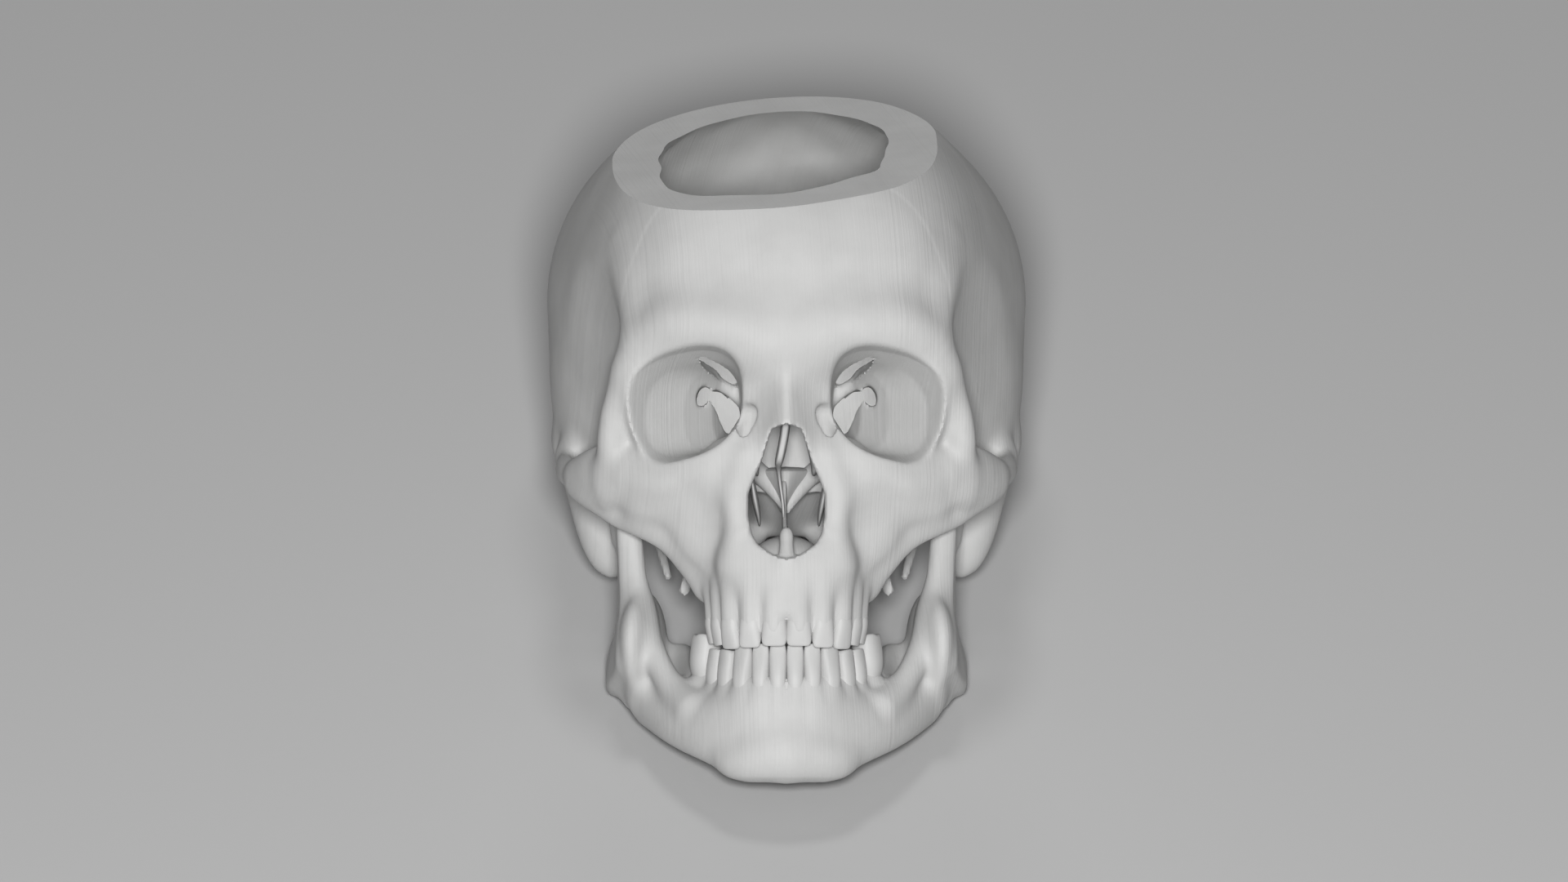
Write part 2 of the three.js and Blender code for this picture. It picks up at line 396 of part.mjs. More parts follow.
// Pushes every corner of a unit sphere out from a centre to where the form ends.
function skin(form, centre, [wide, tall], crowd, fromOutside) {
  const { farShare: far, nearShare: near } = searchShares;
  return evenSplit(reshape(new THREE.SphereGeometry(1, wide, tall), (p) => {
    const polar = Math.PI * (Math.acos(clamp(p.y, -1, 1)) / Math.PI) ** crowd;
    const ring = Math.hypot(p.x, p.z) || 1;
    const d = [p.x / ring * Math.sin(polar), Math.cos(polar), p.z / ring * Math.sin(polar)];
    const at = (t) => form(centre[0] + t * d[0], centre[1] + t * d[1], centre[2] + t * d[2]);
    let [inside, outside] = [near, far];
    if (fromOutside) {
      for (let t = far; t > near; t -= near / 1.5) {
        if (at(t) < 0) { inside = t; break; }
        outside = t;
      }
    } else {
      for (let t = near; t < far; t += near / 2) {
        if (at(t) > 0) { outside = t; break; }
        inside = t;
      }
    }
    for (let i = 0; i < 12; i++) {
      const mid = (inside + outside) / 2;
      if (at(mid) < 0) inside = mid; else outside = mid;
    }
    p.set(centre[0] + inside * d[0], centre[1] + inside * d[1], centre[2] + inside * d[2]);
  }));
}

// Plain forms as geometries, in shares
const ovalGeometry = ({ centreShares: centre, halfShares: half, turn = 0 }, grow = 0, sides = 12, rings = 8) =>
  new THREE.SphereGeometry(1, sides, rings).scale(half[0] + grow, half[1] + grow, half[2] + grow)
    .rotateZ(radians(turn)).translate(...centre);
const ovalPair = (form, grow, sides, rings) =>
  [ovalGeometry(form, grow, sides, rings), ovalGeometry(flip(form), grow, sides, rings)];

// A capsule bent along a line, with the line's radius at each step.
function barGeometry(rows, { press = null, sides = 6, steps = null } = {}) {
  const line = barLine(rows);
  const count = steps ?? rows.length - 1;
  const geometry = new THREE.CapsuleGeometry(1, 1, 1, sides, count);
  const axis = press ? new THREE.Vector3(...press[0]).normalize() : null;
  return reshape(geometry, (p) => {
    const body = clamp(p.y, -0.5, 0.5);
    const t = body + 0.5;
    const { place, radius } = line(t);
    const before = line(Math.max(t - 1 / count / 2, 0)).place;
    const tangent = line(Math.min(t + 1 / count / 2, 1)).place.sub(before).normalize();
    const reference = Math.abs(tangent.x) < 0.8 ? new THREE.Vector3(1, 0, 0) : new THREE.Vector3(0, 0, 1);
    const side = new THREE.Vector3().crossVectors(tangent, reference).normalize();
    const other = new THREE.Vector3().crossVectors(tangent, side);
    const out = side.multiplyScalar(p.x * radius).addScaledVector(other, p.z * radius)
      .addScaledVector(tangent, (p.y - body) * radius);
    if (press) out.addScaledVector(axis, (press[1] - 1) * out.dot(axis));
    p.copy(place).add(out);
  });
}

const pair = (rows, options = {}) =>
  [barGeometry(rows, options), barGeometry(mirrored(rows), { ...options, press: otherPress(options.press) })];

// An outline run along one axis; grow moves the outline outward.
function prismGeometry(outline, axis, [from, to], grow = 0) {
  const area = THREE.ShapeUtils.area(outline.map(([u, v]) => new THREE.Vector2(u, v)));
  const turn = area > 0 ? 1 : -1;
  const n = outline.length;
  const points = outline.map(([u, v], i) => {
    const before = new THREE.Vector2(u - outline[(i + n - 1) % n][0], v - outline[(i + n - 1) % n][1]).normalize();
    const after = new THREE.Vector2(outline[(i + 1) % n][0] - u, outline[(i + 1) % n][1] - v).normalize();
    const out = new THREE.Vector2(before.y + after.y, -before.x - after.x);
    const reach = 2 * turn * grow / Math.max(out.lengthSq(), 0.5);
    return new THREE.Vector2(u + out.x * reach, v + out.y * reach);
  });
  const geometry = new THREE.ExtrudeGeometry(new THREE.Shape(points), { depth: to - from, bevelEnabled: false });
  return reshape(geometry, (p) => {
    const [u, v, w] = [p.x, p.y, p.z + from];
    if (axis === 'x') p.set(w, u, v);
    else if (axis === 'y') p.set(u, w, v);
    else p.set(u, v, w);
  });
}

const seamPoints = (rows, pieces) => new THREE.SplineCurve(rows.map((r) => new THREE.Vector2(...r)))
  .getPoints(pieces).map((p) => [p.x, p.y]);
const symmetric = (rows) => [...rows, ...mirrored(rows).reverse()]
  .filter(([u], i, all) => !(u === 0 && i > 0 && all[i - 1][0] === 0) && !(u === 0 && i === all.length - 1));

function boxGeometry([low, high], grow = 0) {
  return new THREE.BoxGeometry(...high.map((h, i) => Math.abs(h - low[i]) + 2 * grow))
    .translate(...high.map((h, i) => (h + low[i]) / 2));
}

// A body through rounded sections; each row is a station with its walls, place turns them round.
function loftGeometry(rows, roundness, sides, place) {
  const geometry = new THREE.CylinderGeometry(1, 1, 1, sides, rows.length - 1);
  return reshape(geometry, (p) => {
    const row = rows[Math.round((0.5 - p.y) * (rows.length - 1))];
    const ring = Math.hypot(p.x, p.z);
    const [c, s] = ring ? [p.x / ring, p.z / ring] : [0, 0];
    const bulge = ring ? (Math.abs(c) ** roundness + Math.abs(s) ** roundness) ** (1 / roundness) : 1;
    const [a, b] = [c / bulge, s / bulge];
    p.set(...place(row[0], (row[1] + row[2]) / 2 + a * (row[2] - row[1]) / 2,
      (row[3] + row[4]) / 2 + b * (row[4] - row[3]) / 2, row));
  });
}

// Teeth side by side along the line of their row, in millimetres
function layOut(teeth, rowShares) {
  const line = new THREE.SplineCurve(rowShares.map(([x, y]) => new THREE.Vector2(x * across, y * along)));
  let run = toothGap / 2;
  return teeth.map((tooth) => {
    const [wide, deep] = [toothWide[tooth.size], toothDeep[tooth.size]];
    const share = (run + wide / 2) / line.getLength();
    const { x, y } = line.getPointAt(share);
    run += wide + toothGap;
    return { ...tooth, wide, deep, atShares: [x / across, y / along], turn: line.getTangentAt(share).angle() };
  });
}
const upperTeeth = layOut(upperTeethShares, upperRowShares);
const lowerTeeth = layOut(lowerTeethShares, lowerRowShares);

// The skull without its lower jaw, as one body
const brain = firstOf(brainShares.map(([x, y, z, a, b, c, soft]) =>
  ({ form: oval({ centreShares: [x, y, z], halfShares: [a, b, c] }), soft })));
const underside = (x, y, z) => {
  const s = undersideShares;
  const height = s.lowShare + s.frontRiseShare * ramp(-y, -s.frontFromShare, s.runShare)
    + s.backRiseShare * ramp(y, s.backFromShare, s.runShare) ** 2
    - s.lobeShare * Math.exp(-(((y - s.lobeAtShare) / s.lobeLongShare) ** 2) - (x / s.lobeWideShare) ** 2);
  return height - z;
};
const rootBars = upperTeeth.map(({ atShares: [x, y], wide }) => {
  const { inShares, topShares, endShares } = rootRidgeShares;
  return [[x * inShares[0], y * inShares[1], topShares[0], topShares[1] * wide / across],
    [x, y, endShares[0], endShares[1] * wide / across]];
});
const faceForm = firstOf([
  { form: brain },
  { form: (x, y, z) => -underside(x, y, z), soft: undersideShares.softShare, cut: true },
  ...bothOvals(templeShares, { soft: templeShares.softShare, cut: true }),
  ...bothOvals(underTempleShares, { soft: underTempleShares.softShare, cut: true }),
  ...bothOvals(eyeWallShares, { soft: eyeWallShares.softShare }),
  ...bothOvals(faceOvalShares[0], { soft: faceOvalShares[0].softShare }),
  ...faceOvalShares.slice(1).map((o) => ({ form: oval(o), soft: o.softShare })),
  ...bothSides(browShares, softShares.browShare),
  ...bothSides(templeLineShares, softShares.templeLineShare),
  ...bothSides(nasalWallShares, softShares.nasalWallShare),
  { form: barField(nasalRidgeShares), soft: softShares.nasalRidgeShare },
  ...bothSides(nasalFlankShares, softShares.nasalRidgeShare),
  ...bothOvals(cheekHollowShares, { soft: cheekHollowShares.softShare, cut: true }),
  ...bothSides(upperArchShares, softShares.archShare, pressShares.archShares),
  ...rootBars.flatMap((rows) => bothSides(rows, softShares.rootShare)),
  { form: barField(spineShares), soft: softShares.spineShare },
  ...bothSides(earCrestShares, softShares.earCrestShare),
  { form: barField(basilarShares, pressShares.basilarShares), soft: softShares.basilarShare },
]);

// The room for the brain: the braincase less its wall, over a floor in three steps.
const hollow = (x, y, z) => {
  const s = floorShares;
  const a = Math.abs(x);
  const wall = (sideWall + (crownWall - sideWall) * ramp(z, s.crownFromShare, s.crownRunShare)) / along;
  const front = s.frontShare + s.frontRiseShare * ramp(-y, s.frontFromShare, s.frontRunShare)
    - s.grooveShare * ramp(s.grooveWideShare - a, 0, s.grooveRunShare)
    - s.edgeFallShare * ramp(a, s.edgeFromShare, s.edgeRunShare);
  const middle = s.middleShare - (s.middleShare - s.sideShare) * ramp(a, s.sideFromShare, s.sideRunShare);
  const [ridgeX, ridgeY] = s.ridgeAtShares;
  const ridge = s.ridgeShare * ramp(a, s.ridgeFromShare, s.ridgeRunShare)
    * Math.exp(-(((y - ridgeY + s.ridgeSlopeShare * (a - ridgeX)) / s.ridgeThickShare) ** 2));
  const frontPart = 1 / (1 + Math.exp((y - s.stepShare) / s.stepSoftShare));
  const backPart = 1 / (1 + Math.exp(-y / s.backSoftShare));
  const floor = front * frontPart + middle * (1 - frontPart) * (1 - backPart) + (s.backShare + ridge) * backPart;
  return -blend(-(brain(x, y, z) + wall), -(floor - z), s.softShare);
};

const outer = joined([
  skin(faceForm, skinCentreShares, skinFacets, 0.66, true),
  ...pair(mastoidShares, { sides: 7, steps: 3 }), ...pair(sideRimShares, { sides: 5, steps: 2 }),
  ...pair(lowerRimShares, { sides: 4 }), ...pair(cheekBorderShares, { sides: 4, steps: 4 }),
  ...pair(archShares, { press: pressShares.cheekArchShares, sides: 5 }), ...pair(archRootShares, { sides: 4, steps: 1 }),
  ...pair(eminenceShares, { sides: 4 }), ...pair(condyleShares, { sides: 5, steps: 1 }),
  ...pair(styloidShares, { sides: 4, steps: 1 }), ...pair(tuberShares, { sides: 4 }),
  ...pair(pterygoidShares, { press: pressShares.pterygoidShares, sides: 4, steps: 1 }),
  ...pair(wingPlateShares, { press: pressShares.wingPlateShares, sides: 4, steps: 1 }),
  ...ovalPair(cheekOvalShares, 0, 8, 6),
]);

const eyeSocket = (side) => loftGeometry(eyeSocketShares, 2.8, socketSides, (station, u, v, row) =>
  [side * u, station, v - eyeSlantShare * (u - (row[1] + row[2]) / 2)]);
const crownCut = new THREE.BoxGeometry(...sideBoxShares).translate(0, 0, sideBoxShares[2] / 2)
  .rotateX(radians(crownPitch)).rotateY(radians(-crownRoll)).translate(0, 0, crownHeightShare);
const foramen = { centreShares: foramenAtShares,
  halfShares: [foramenWide / across / 2, foramenLong / along / 2, foramenDeepShare] };
const earHole = earHoleShares.map((place) => [...place, earBore / along / 2]);
const jawHead = { centreShares: jawHeadAtShares,
  halfShares: [headWide / across / 2, headThick / along / 2, headThick / up / 2] };

const { frontShare, lipShare, caveFrontShare, caveBackShare } = noseDepthShares;
const openings = joined([
  skin(hollow, hollowCentreShares, hollowFacets, 1, false),
  eyeSocket(1), eyeSocket(-1),
  ...pair(fissureShares, { sides: 5, steps: 1 }), ...pair(upperFissureShares, { sides: 4, steps: 1 }),
  ...pair(floorFissureShares, { sides: 4 }), ...pair(opticShares, { sides: 4 }),
  prismGeometry(symmetric(noseMouthShares), 'y', [frontShare, lipShare]),
  prismGeometry(symmetric(noseCaveShares), 'y', [caveFrontShare, caveBackShare]),
  prismGeometry(symmetric(backOpeningShares), 'y', backOpeningDepthShares),
  ovalGeometry(palateShares, 0, 10, 6), ovalGeometry(foramen, 0, 12, 6),
  ...pair(earHole, { steps: 1, sides: 5 }), ...ovalPair(jawHead, gapShare(jointGap), 8, 5),
  ...ovalPair(headRoomShares, 0, 8, 5), crownCut,
]);

// Teeth: a crown and its root through four sections
function toothGeometry(tooth, side, grow) {
  const { atShares: [x, y], turn, wide, deep, edgeShare, tipShare, riseShares: [root, neck, edge] } = tooth;
  const rows = toothSectionShares.map(([t, w, d]) => {
    const height = t < 0 ? root - Math.sign(edge - root) * grow : neck + t * (edge - neck);
    const width = wide / across * w / 2 + grow;
    const depth = deep / along * (d || edgeShare) / 2 + grow;
    return [height, -width, width, -depth, depth];
  });
  const [cos, sin] = [Math.cos(turn), Math.sin(turn)];
  return loftGeometry(rows, 3, toothSides, (z, u, v) => {
    const crown = (z - neck) / (edge - neck);
    const push = crown > 0 ? tipShare * crown : rootBackShare * (z - neck) / (root - neck);
    return [side * (x + cos * u - sin * v), y + push + sin * u + cos * v, z];
  });
}
const teethOf = (rows) => jaws.flatMap(([word, side]) => rows.map((tooth) => ({
  name: `${tooth.name}_${word}`,
  body: solid(toothGeometry(tooth, side, 0)),
  socket: solid(toothGeometry(tooth, side, gapShare(socketGap))) })));
const upper = teethOf(upperTeeth);
const lower = teethOf(lowerTeeth);

let rest = outer.subtract(openings).subtract(wasm.Manifold.union(upper.map((t) => t.socket)));

// The bones, taken from that body one after another along the sutures
const pieces = [];
const take = (name, region) => {
  pieces.push({ name, body: largest(rest.intersect(region(0))) });
  rest = rest.subtract(region(gapShare(sutureGap)));
};
const half = (side, grow) => solid(new THREE.BoxGeometry(...sideBoxShares)
  .translate(side * ((sideBoxShares[0] + gapShare(sutureGap)) / 2 - grow), 0, 0));
const grown = ([from, to], low, high) => [from - low, to + high];

take('occipital_bone', (grow) => joined([
  prismGeometry(symmetric([...seamPoints(lambdoidSeamShares, 5), ...lambdoidFarShares]), 'y',
    grown(lambdoidDepthShares, grow, 0), grow),
  prismGeometry(symmetric(seamPoints(baseSeamShares, 6)), 'z', grown(baseHeightShares, 0, grow), grow),
]));
for (const [word, side] of jaws) {
  const [inner, far] = temporalDepthShares;
  take(`temporal_${word}`, (grow) => solid(prismGeometry([...seamPoints(squamousSeamShares, 11), ...temporalFarShares],
    'x', [side * (inner - grow), side * far].sort((a, b) => a - b), grow)));
}
take('frontal_bone', (grow) => solid(prismGeometry([...seamPoints(coronalSeamShares, 5),
  ...seamPoints(frontalLowerSeamShares, 6).slice(1), ...frontalFarShares], 'x', vaultDepthShares, grow)));
for (const [word, side] of jaws) {
  take(`parietal_${word}`, (grow) => solid(prismGeometry(parietalFarShares, 'x', vaultDepthShares, grow))
    .intersect(half(side, grow)));
}
take('sphenoid_bone', (grow) => solid(prismGeometry(symmetric(sphenoidSeamShares), 'z', sphenoidHeightShares, grow)));
for (const [word, side] of jaws) {
  take(`nasal_${word}`, (grow) => solid(prismGeometry(sided(nasalSeamShares, side), 'y',
    grown(nasalDepthShares, 0, grow), grow)).intersect(half(side, grow)));
}
for (const [word, side] of jaws) {
  take(`lacrimal_${word}`, (grow) => solid(boxGeometry(sided(lacrimalShares, side), grow)));
  take(`zygomatic_${word}`, (grow) => solid(prismGeometry(
    sided([...seamPoints(cheekSeamShares, 6), ...cheekFarShares], side), 'y', cheekDepthShares, grow)));
  take(`palatine_${word}`, (grow) => solid(boxGeometry(sided(palatineShares, side), grow)).intersect(half(side, grow)));
}
take('ethmoid_bone', (grow) => solid(boxGeometry(ethmoidShares, grow)));
for (const [word, side] of jaws) take(`maxilla_${word}`, (grow) => half(side, grow));

// Thin bones inside the nose: flat sections one above the other
const thinBone = (rows, thick, side = 1, raise = 0) => solid(loftGeometry(
  rows.map(([height, front, back, x, share]) => {
    const wall = share * thick / across / 2;
    return [height + raise, side * x - wall, side * x + wall, front, back];
  }), 6, plateSides, (z, u, v) => [u, v, z]));
const ethmoid = pieces.find((piece) => piece.name === 'ethmoid_bone');
ethmoid.body = ethmoid.body.add(thinBone(uprightPlateShares, septumPlate));
pieces.push({ name: 'vomer', body: thinBone(vomerShares, septumPlate, 1, gapShare(sutureGap)) });
for (const [word, side] of jaws) {
  pieces.push({ name: `inferior_concha_${word}`, body: thinBone(conchaShares, rollPlate, side) });
}

// The lower jaw
const jawForm = firstOf([
  ...bothSides(jawBodyShares, 0, pressShares.jawShares),
  ...bothSides(jawBaseShares, softShares.jawBaseShare),
  { form: oval(chinOvalShares[0]), soft: chinOvalShares[0].softShare },
  ...bothOvals(chinOvalShares[1], { soft: chinOvalShares[1].softShare }),
  ...bothSides(jawRimShares, softShares.jawRimShare, pressShares.jawRimShares),
]);

// A horseshoe: upright sections across a path, each pushed out to where the jaw's form ends.
function horseshoe(form, rows, [sections, sides]) {
  const path = new THREE.CatmullRomCurve3(rows.map((r) => new THREE.Vector3(...r)));
  const geometry = new THREE.CylinderGeometry(1, 1, 1, sides, sections);
  const { steepShare, reachShare, stepShare } = jawSectionShares;
  return reshape(geometry, (p) => {
    const t = 0.5 - p.y;
    const centre = path.getPoint(t);
    const tangent = path.getTangent(t).setZ(0).normalize();
    const ring = Math.hypot(p.x, p.z);
    if (!ring) { p.copy(centre); return; }
    const d = new THREE.Vector3(-tangent.y * p.x / ring, tangent.x * p.x / ring, p.z / ring * steepShare).normalize();
    const at = (s) => form(centre.x + s * d.x, centre.y + s * d.y, centre.z + s * d.z);
    let inside = 0;
    while (inside < reachShare && at(inside + stepShare) < 0) inside += stepShare;
    let outside = inside + stepShare;
    for (let i = 0; i < 10; i++) {
      const mid = (inside + outside) / 2;
      if (at(mid) < 0) inside = mid; else outside = mid;
    }
    p.copy(centre).addScaledVector(d, inside);
  });
}

function ramusGeometry(side) {
  const round = ramusRound / along;
  const shape = new THREE.Shape(new THREE.SplineCurve([...ramusShares, ramusShares[0]]
    .map((r) => new THREE.Vector2(...r))).getPoints(ramusSteps).slice(0, -1));
  const s = ramusMidShares;
  const geometry = new THREE.ExtrudeGeometry(shape, { depth: ramusPlate / across - 2 * round, bevelThickness: round,
    bevelSize: round, bevelOffset: -round, bevelSegments: 1 });
  return reshape(geometry, (p) => {
    const [y, z, w] = [p.x, p.y, p.z - (ramusPlate / across - 2 * round) / 2];
    const mid = s.atShare + s.outShare * ramp(-z, -s.outFromShare, s.outRunShare)
      - s.turnInShare * ramp(-y, -s.turnFromShare, s.turnRunShare) * ramp(-z, -s.turnTopShare, s.turnFallShare);
    p.set(side * (mid + w), y, z);
  });
}
const jaw = joined([
  horseshoe(jawForm, jawPathShares, jawFacets),
  ramusGeometry(1), ramusGeometry(-1), ...ovalPair(jawHead, 0, 8, 5), ...ovalPair(jawCheekShares, 0, 8, 6),
  ...pair(neckShares, { sides: 4 }), ...pair(ramusEdgeShares, { sides: 4 }), ...pair(angleShares, { sides: 4 }),
]).subtract(wasm.Manifold.union(lower.map((t) => t.socket)));

// The model
const skull = new THREE.Group();
function addMesh(name, body, look) {
  const mesh = body.getMesh();
  const geometry = new THREE.BufferGeometry();
  geometry.setAttribute('position', new THREE.BufferAttribute(new Float32Array(mesh.vertProperties), 3));
  geometry.setIndex(new THREE.BufferAttribute(new Uint32Array(mesh.triVerts), 1));
  geometry.computeVertexNormals();
  const node = new THREE.Mesh(geometry, new THREE.MeshStandardMaterial(look));
  node.name = name;
  skull.add(node);
}
pieces.forEach(({ name, body }) => addMesh(name, body, bone));
upper.forEach(({ name, body }) => addMesh(name, body, enamel));
addMesh('mandible', largest(jaw), bone);
lower.forEach(({ name, body }) => addMesh(name, body, enamel));

skull.rotation.x = -radians(lean);
skull.updateMatrixWorld(true);
const box = new THREE.Box3().setFromObject(skull, true);
skull.position.set(-(box.min.x + box.max.x) / 2, -(box.min.y + box.max.y) / 2, -box.min.z);

export default skull;
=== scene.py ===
# %% [markdown]
# # A human skull, opened across the crown
#
# This scene dresses a jointed skull. The bones are a fixed frame that has already been made, and each
# one gets a fine surface here. A skull has hardly a straight line in it: its bones are thin, hollow,
# and run into each other. Bmesh operators are good at turned and extruded shapes, but bone that swells,
# thins and opens is easier to press out of clay. So the big bones come from a clay field, which is then
# cut into bones along its seams by boolean operators, and the teeth are built by bmesh operators.
#
# Millimetres are used while shaping. In this shaping frame the skull looks straight ahead: +X is the
# skull's left, -Y is out of the face, +Z is up and zero is midway between the ear holes.

# %% Load the frame
import json
import math
import bmesh
import bpy
import numpy as np
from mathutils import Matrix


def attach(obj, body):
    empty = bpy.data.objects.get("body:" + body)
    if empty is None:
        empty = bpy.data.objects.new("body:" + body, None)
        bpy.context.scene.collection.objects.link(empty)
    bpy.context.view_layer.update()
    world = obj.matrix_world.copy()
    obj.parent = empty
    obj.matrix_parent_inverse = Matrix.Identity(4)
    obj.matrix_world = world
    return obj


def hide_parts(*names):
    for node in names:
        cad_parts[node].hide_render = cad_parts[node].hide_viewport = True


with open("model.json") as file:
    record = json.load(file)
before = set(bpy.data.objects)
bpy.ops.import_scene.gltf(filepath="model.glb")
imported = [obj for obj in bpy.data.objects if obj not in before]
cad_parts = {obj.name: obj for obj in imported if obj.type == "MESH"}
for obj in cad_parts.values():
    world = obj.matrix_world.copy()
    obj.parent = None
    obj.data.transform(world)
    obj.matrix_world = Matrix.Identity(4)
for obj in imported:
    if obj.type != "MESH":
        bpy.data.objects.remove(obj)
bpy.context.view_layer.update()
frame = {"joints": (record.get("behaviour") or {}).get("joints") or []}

import openvdb
from mathutils import Matrix, Vector

# %% [markdown]
# ## Where the shaping frame lies
#
# The skull rests on the angles of its jaw and the back of its head, so it is tipped back by 33 degrees.
# One matrix takes every finished mesh from the shaping frame, in millimetres, to its place in metres.

# %% Place of the skull
LEAN = math.radians(33.0)
hinge = Vector(frame["joints"][0]["pos_m"])
turn_back = Matrix.Rotation(-LEAN, 4, "X")
hinge_shaping = Vector((0.0, -12.0, -5.5)) * 0.001
PLACE = Matrix.Translation(hinge - turn_back @ hinge_shaping) @ turn_back @ Matrix.Scale(0.001, 4)
print("shaping frame's zero lies at", tuple(round(v, 4) for v in PLACE.translation))

# %% [markdown]
# ## Clay
#
# A field gives, for every point of a grid, how far it is from the surface: negative inside. Two forms
# are joined by taking the smaller of their two fields, and the joint is rounded by blending them where
# they are nearly equal. The simplest form is a ball with three half sizes.

# %% Blending, and ovals
def blend(a, b, soft):
    """The nearer of two fields, with their joint rounded over a width of soft."""
    if soft <= 0:
        return np.minimum(a, b)
    near = np.clip(soft - np.abs(a - b), 0, None) / soft
    return np.minimum(a, b) - near * near * soft * 0.25


def turned(about, degrees):
    return np.array(Matrix.Rotation(math.radians(degrees), 3, about))


class Oval:
    """A ball with three half sizes, turned about one axis."""
    def __init__(self, centre, half, about="Z", turn=0.0):
        self.centre, self.half, self.m = np.array(centre, float), np.array(half, float), turned(about, turn)

    def reach(self, grow):
        e = np.sqrt(((self.m * self.half[None, :]) ** 2).sum(1)) + grow
        return self.centre - e, self.centre + e

    def at(self, x, y, z):
        p = (x - self.centre[0], y - self.centre[1], z - self.centre[2])
        q = [sum(self.m[j, i] * p[j] for j in range(3)) for i in range(3)]
        inner = np.sqrt(sum((q[i] / self.half[i]) ** 2 for i in range(3)))
        outer = np.sqrt(sum((q[i] / self.half[i] ** 2) ** 2 for i in range(3)))
        return inner * (inner - 1) / np.maximum(outer, 1e-4)


print("a ball of 10 mm, 3 mm outside its surface:", round(float(Oval((0, 0, 0), (10,) * 3).at(13, 0, 0)), 3))

# %% [markdown]
# Brows, rims, arches and roots are rolls of clay laid along a path. The path is a smooth curve through a
# few points, and each point has its own radius, so one roll can swell and taper. A roll may be pressed
# flatter, or drawn wider, across one direction.

# %% Rolls of clay
def spline(a, b, c, d, t):
    """A point on the smooth curve from b to c; a and d are their neighbours."""
    return 0.5 * (2*b + (c - a)*t + (2*a - 5*b + 4*c - d)*t*t + (3*b - a - 3*c + d)*t**3)


def smooth_path(points, steps=4):
    p = np.array(points, float)
    if len(p) == 2:
        t = np.linspace(0, 1, steps + 1)[:, None]
        return p[0] * (1 - t) + p[1] * t
    q = np.vstack([2 * p[0] - p[1], p, 2 * p[-1] - p[-2]])
    out = []
    for i in range(len(p) - 1):
        out += [spline(*q[i:i + 4], t) for t in np.linspace(0, 1, steps, endpoint=False)]
    out.append(p[-1])
    return np.array(out)


class Bar:
    """A roll of clay along points (x, y, z, radius); flat = (direction, ratio) presses its section."""
    def __init__(self, points, flat=None):
        self.path, self.flat = smooth_path(points), None
        if flat:
            axis = np.array(flat[0], float)
            self.flat = (axis / np.linalg.norm(axis), flat[1])

    def reach(self, grow):
        r = self.path[:, 3].max() * max(1.0, self.flat[1] if self.flat else 1.0) + grow
        return self.path[:, :3].min(0) - r, self.path[:, :3].max(0) + r

    def at(self, x, y, z):
        P, R = self.path[:, :3].copy(), self.path[:, 3]
        X, Y, Z = (v.astype(np.float32) for v in np.broadcast_arrays(x, y, z))
        firm = 1.0
        if self.flat:
            a, ratio = self.flat
            g = 1 / ratio - 1
            along = X * a[0] + Y * a[1] + Z * a[2]
            X, Y, Z = X + g * along * a[0], Y + g * along * a[1], Z + g * along * a[2]
            P = P + g * (P @ a)[:, None] * a
            firm = (1 + min(1.0, ratio)) / 2
        best = None
        for i in range(len(P) - 1):
            a, ab = P[i], P[i + 1] - P[i]
            t = np.clip(((X-a[0])*ab[0] + (Y-a[1])*ab[1] + (Z-a[2])*ab[2]) / (ab @ ab + 1e-9), 0, 1)
            d = np.sqrt((X-a[0]-t*ab[0])**2 + (Y-a[1]-t*ab[1])**2 + (Z-a[2]-t*ab[2])**2)
            d -= R[i] + t * (R[i + 1] - R[i])
            best = d if best is None else np.minimum(best, d)
        return best * firm


print("a path through 3 points gets", len(smooth_path([(0, 0, 0, 1), (5, 2, 0, 1), (9, 0, 0, 1)])), "points")

# %% [markdown]
# Two more forms are needed. A rule is any formula of x, y and z, kept within a box: it gives the hollow for
# the brain, the eye sockets and the nose. A plate has an outline seen from the side, and is bent across it:
# it gives the upright parts of the jaw.

# %% Rules and plates
class Rule:
    """Any rule of x, y, z, within a box."""
    def __init__(self, rule, low, high):
        self.at, self.low, self.high = rule, np.array(low, float), np.array(high, float)

    def reach(self, grow):
        return self.low - grow, self.high + grow


class Plate:
    """An outline in the Y-Z plane, as thick as it is told to be, along a bent middle."""
    def __init__(self, outline, middle, half, edge=2.0):
        p = np.array(outline, float)
        closed = np.vstack([p, p[0]])
        q = np.vstack([closed[-2], closed, closed[1]])
        out = [spline(*q[i:i + 4], t) for i in range(len(p)) for t in np.linspace(0, 1, 4, endpoint=False)]
        self.p, self.middle, self.half, self.edge = np.array(out), middle, half, edge

    def reach(self, grow):
        mids = [float(self.middle(u, v)) for u, v in self.p]
        low = np.array([min(mids) - self.half, *self.p.min(0)]) - grow
        high = np.array([max(mids) + self.half, *self.p.max(0)]) + grow
        return low, high

    def at(self, x, y, z):
        u, v = np.broadcast_arrays(y, z)
        best, inside = np.full(u.shape, 1e9, np.float32), np.zeros(u.shape, bool)
        for i in range(len(self.p)):
            a, b = self.p[i], self.p[(i + 1) % len(self.p)]
            ab = b - a
            t = np.clip(((u - a[0]) * ab[0] + (v - a[1]) * ab[1]) / (ab @ ab + 1e-9), 0, 1)
            best = np.minimum(best, (u - a[0] - t * ab[0]) ** 2 + (v - a[1] - t * ab[1]) ** 2)
            crosses = (a[1] > v) != (b[1] > v)
            inside ^= crosses & (u < (b[0] - a[0]) * (v - a[1]) / (b[1] - a[1] + 1e-12) + a[0])
        edge = np.where(inside, -np.sqrt(best), np.sqrt(best)) + self.edge
        face = np.abs(x - self.middle(u, v)) - self.half + self.edge
        within = np.minimum(np.maximum(edge, face), 0)
        return within + np.hypot(np.maximum(edge, 0), np.maximum(face, 0)) - self.edge


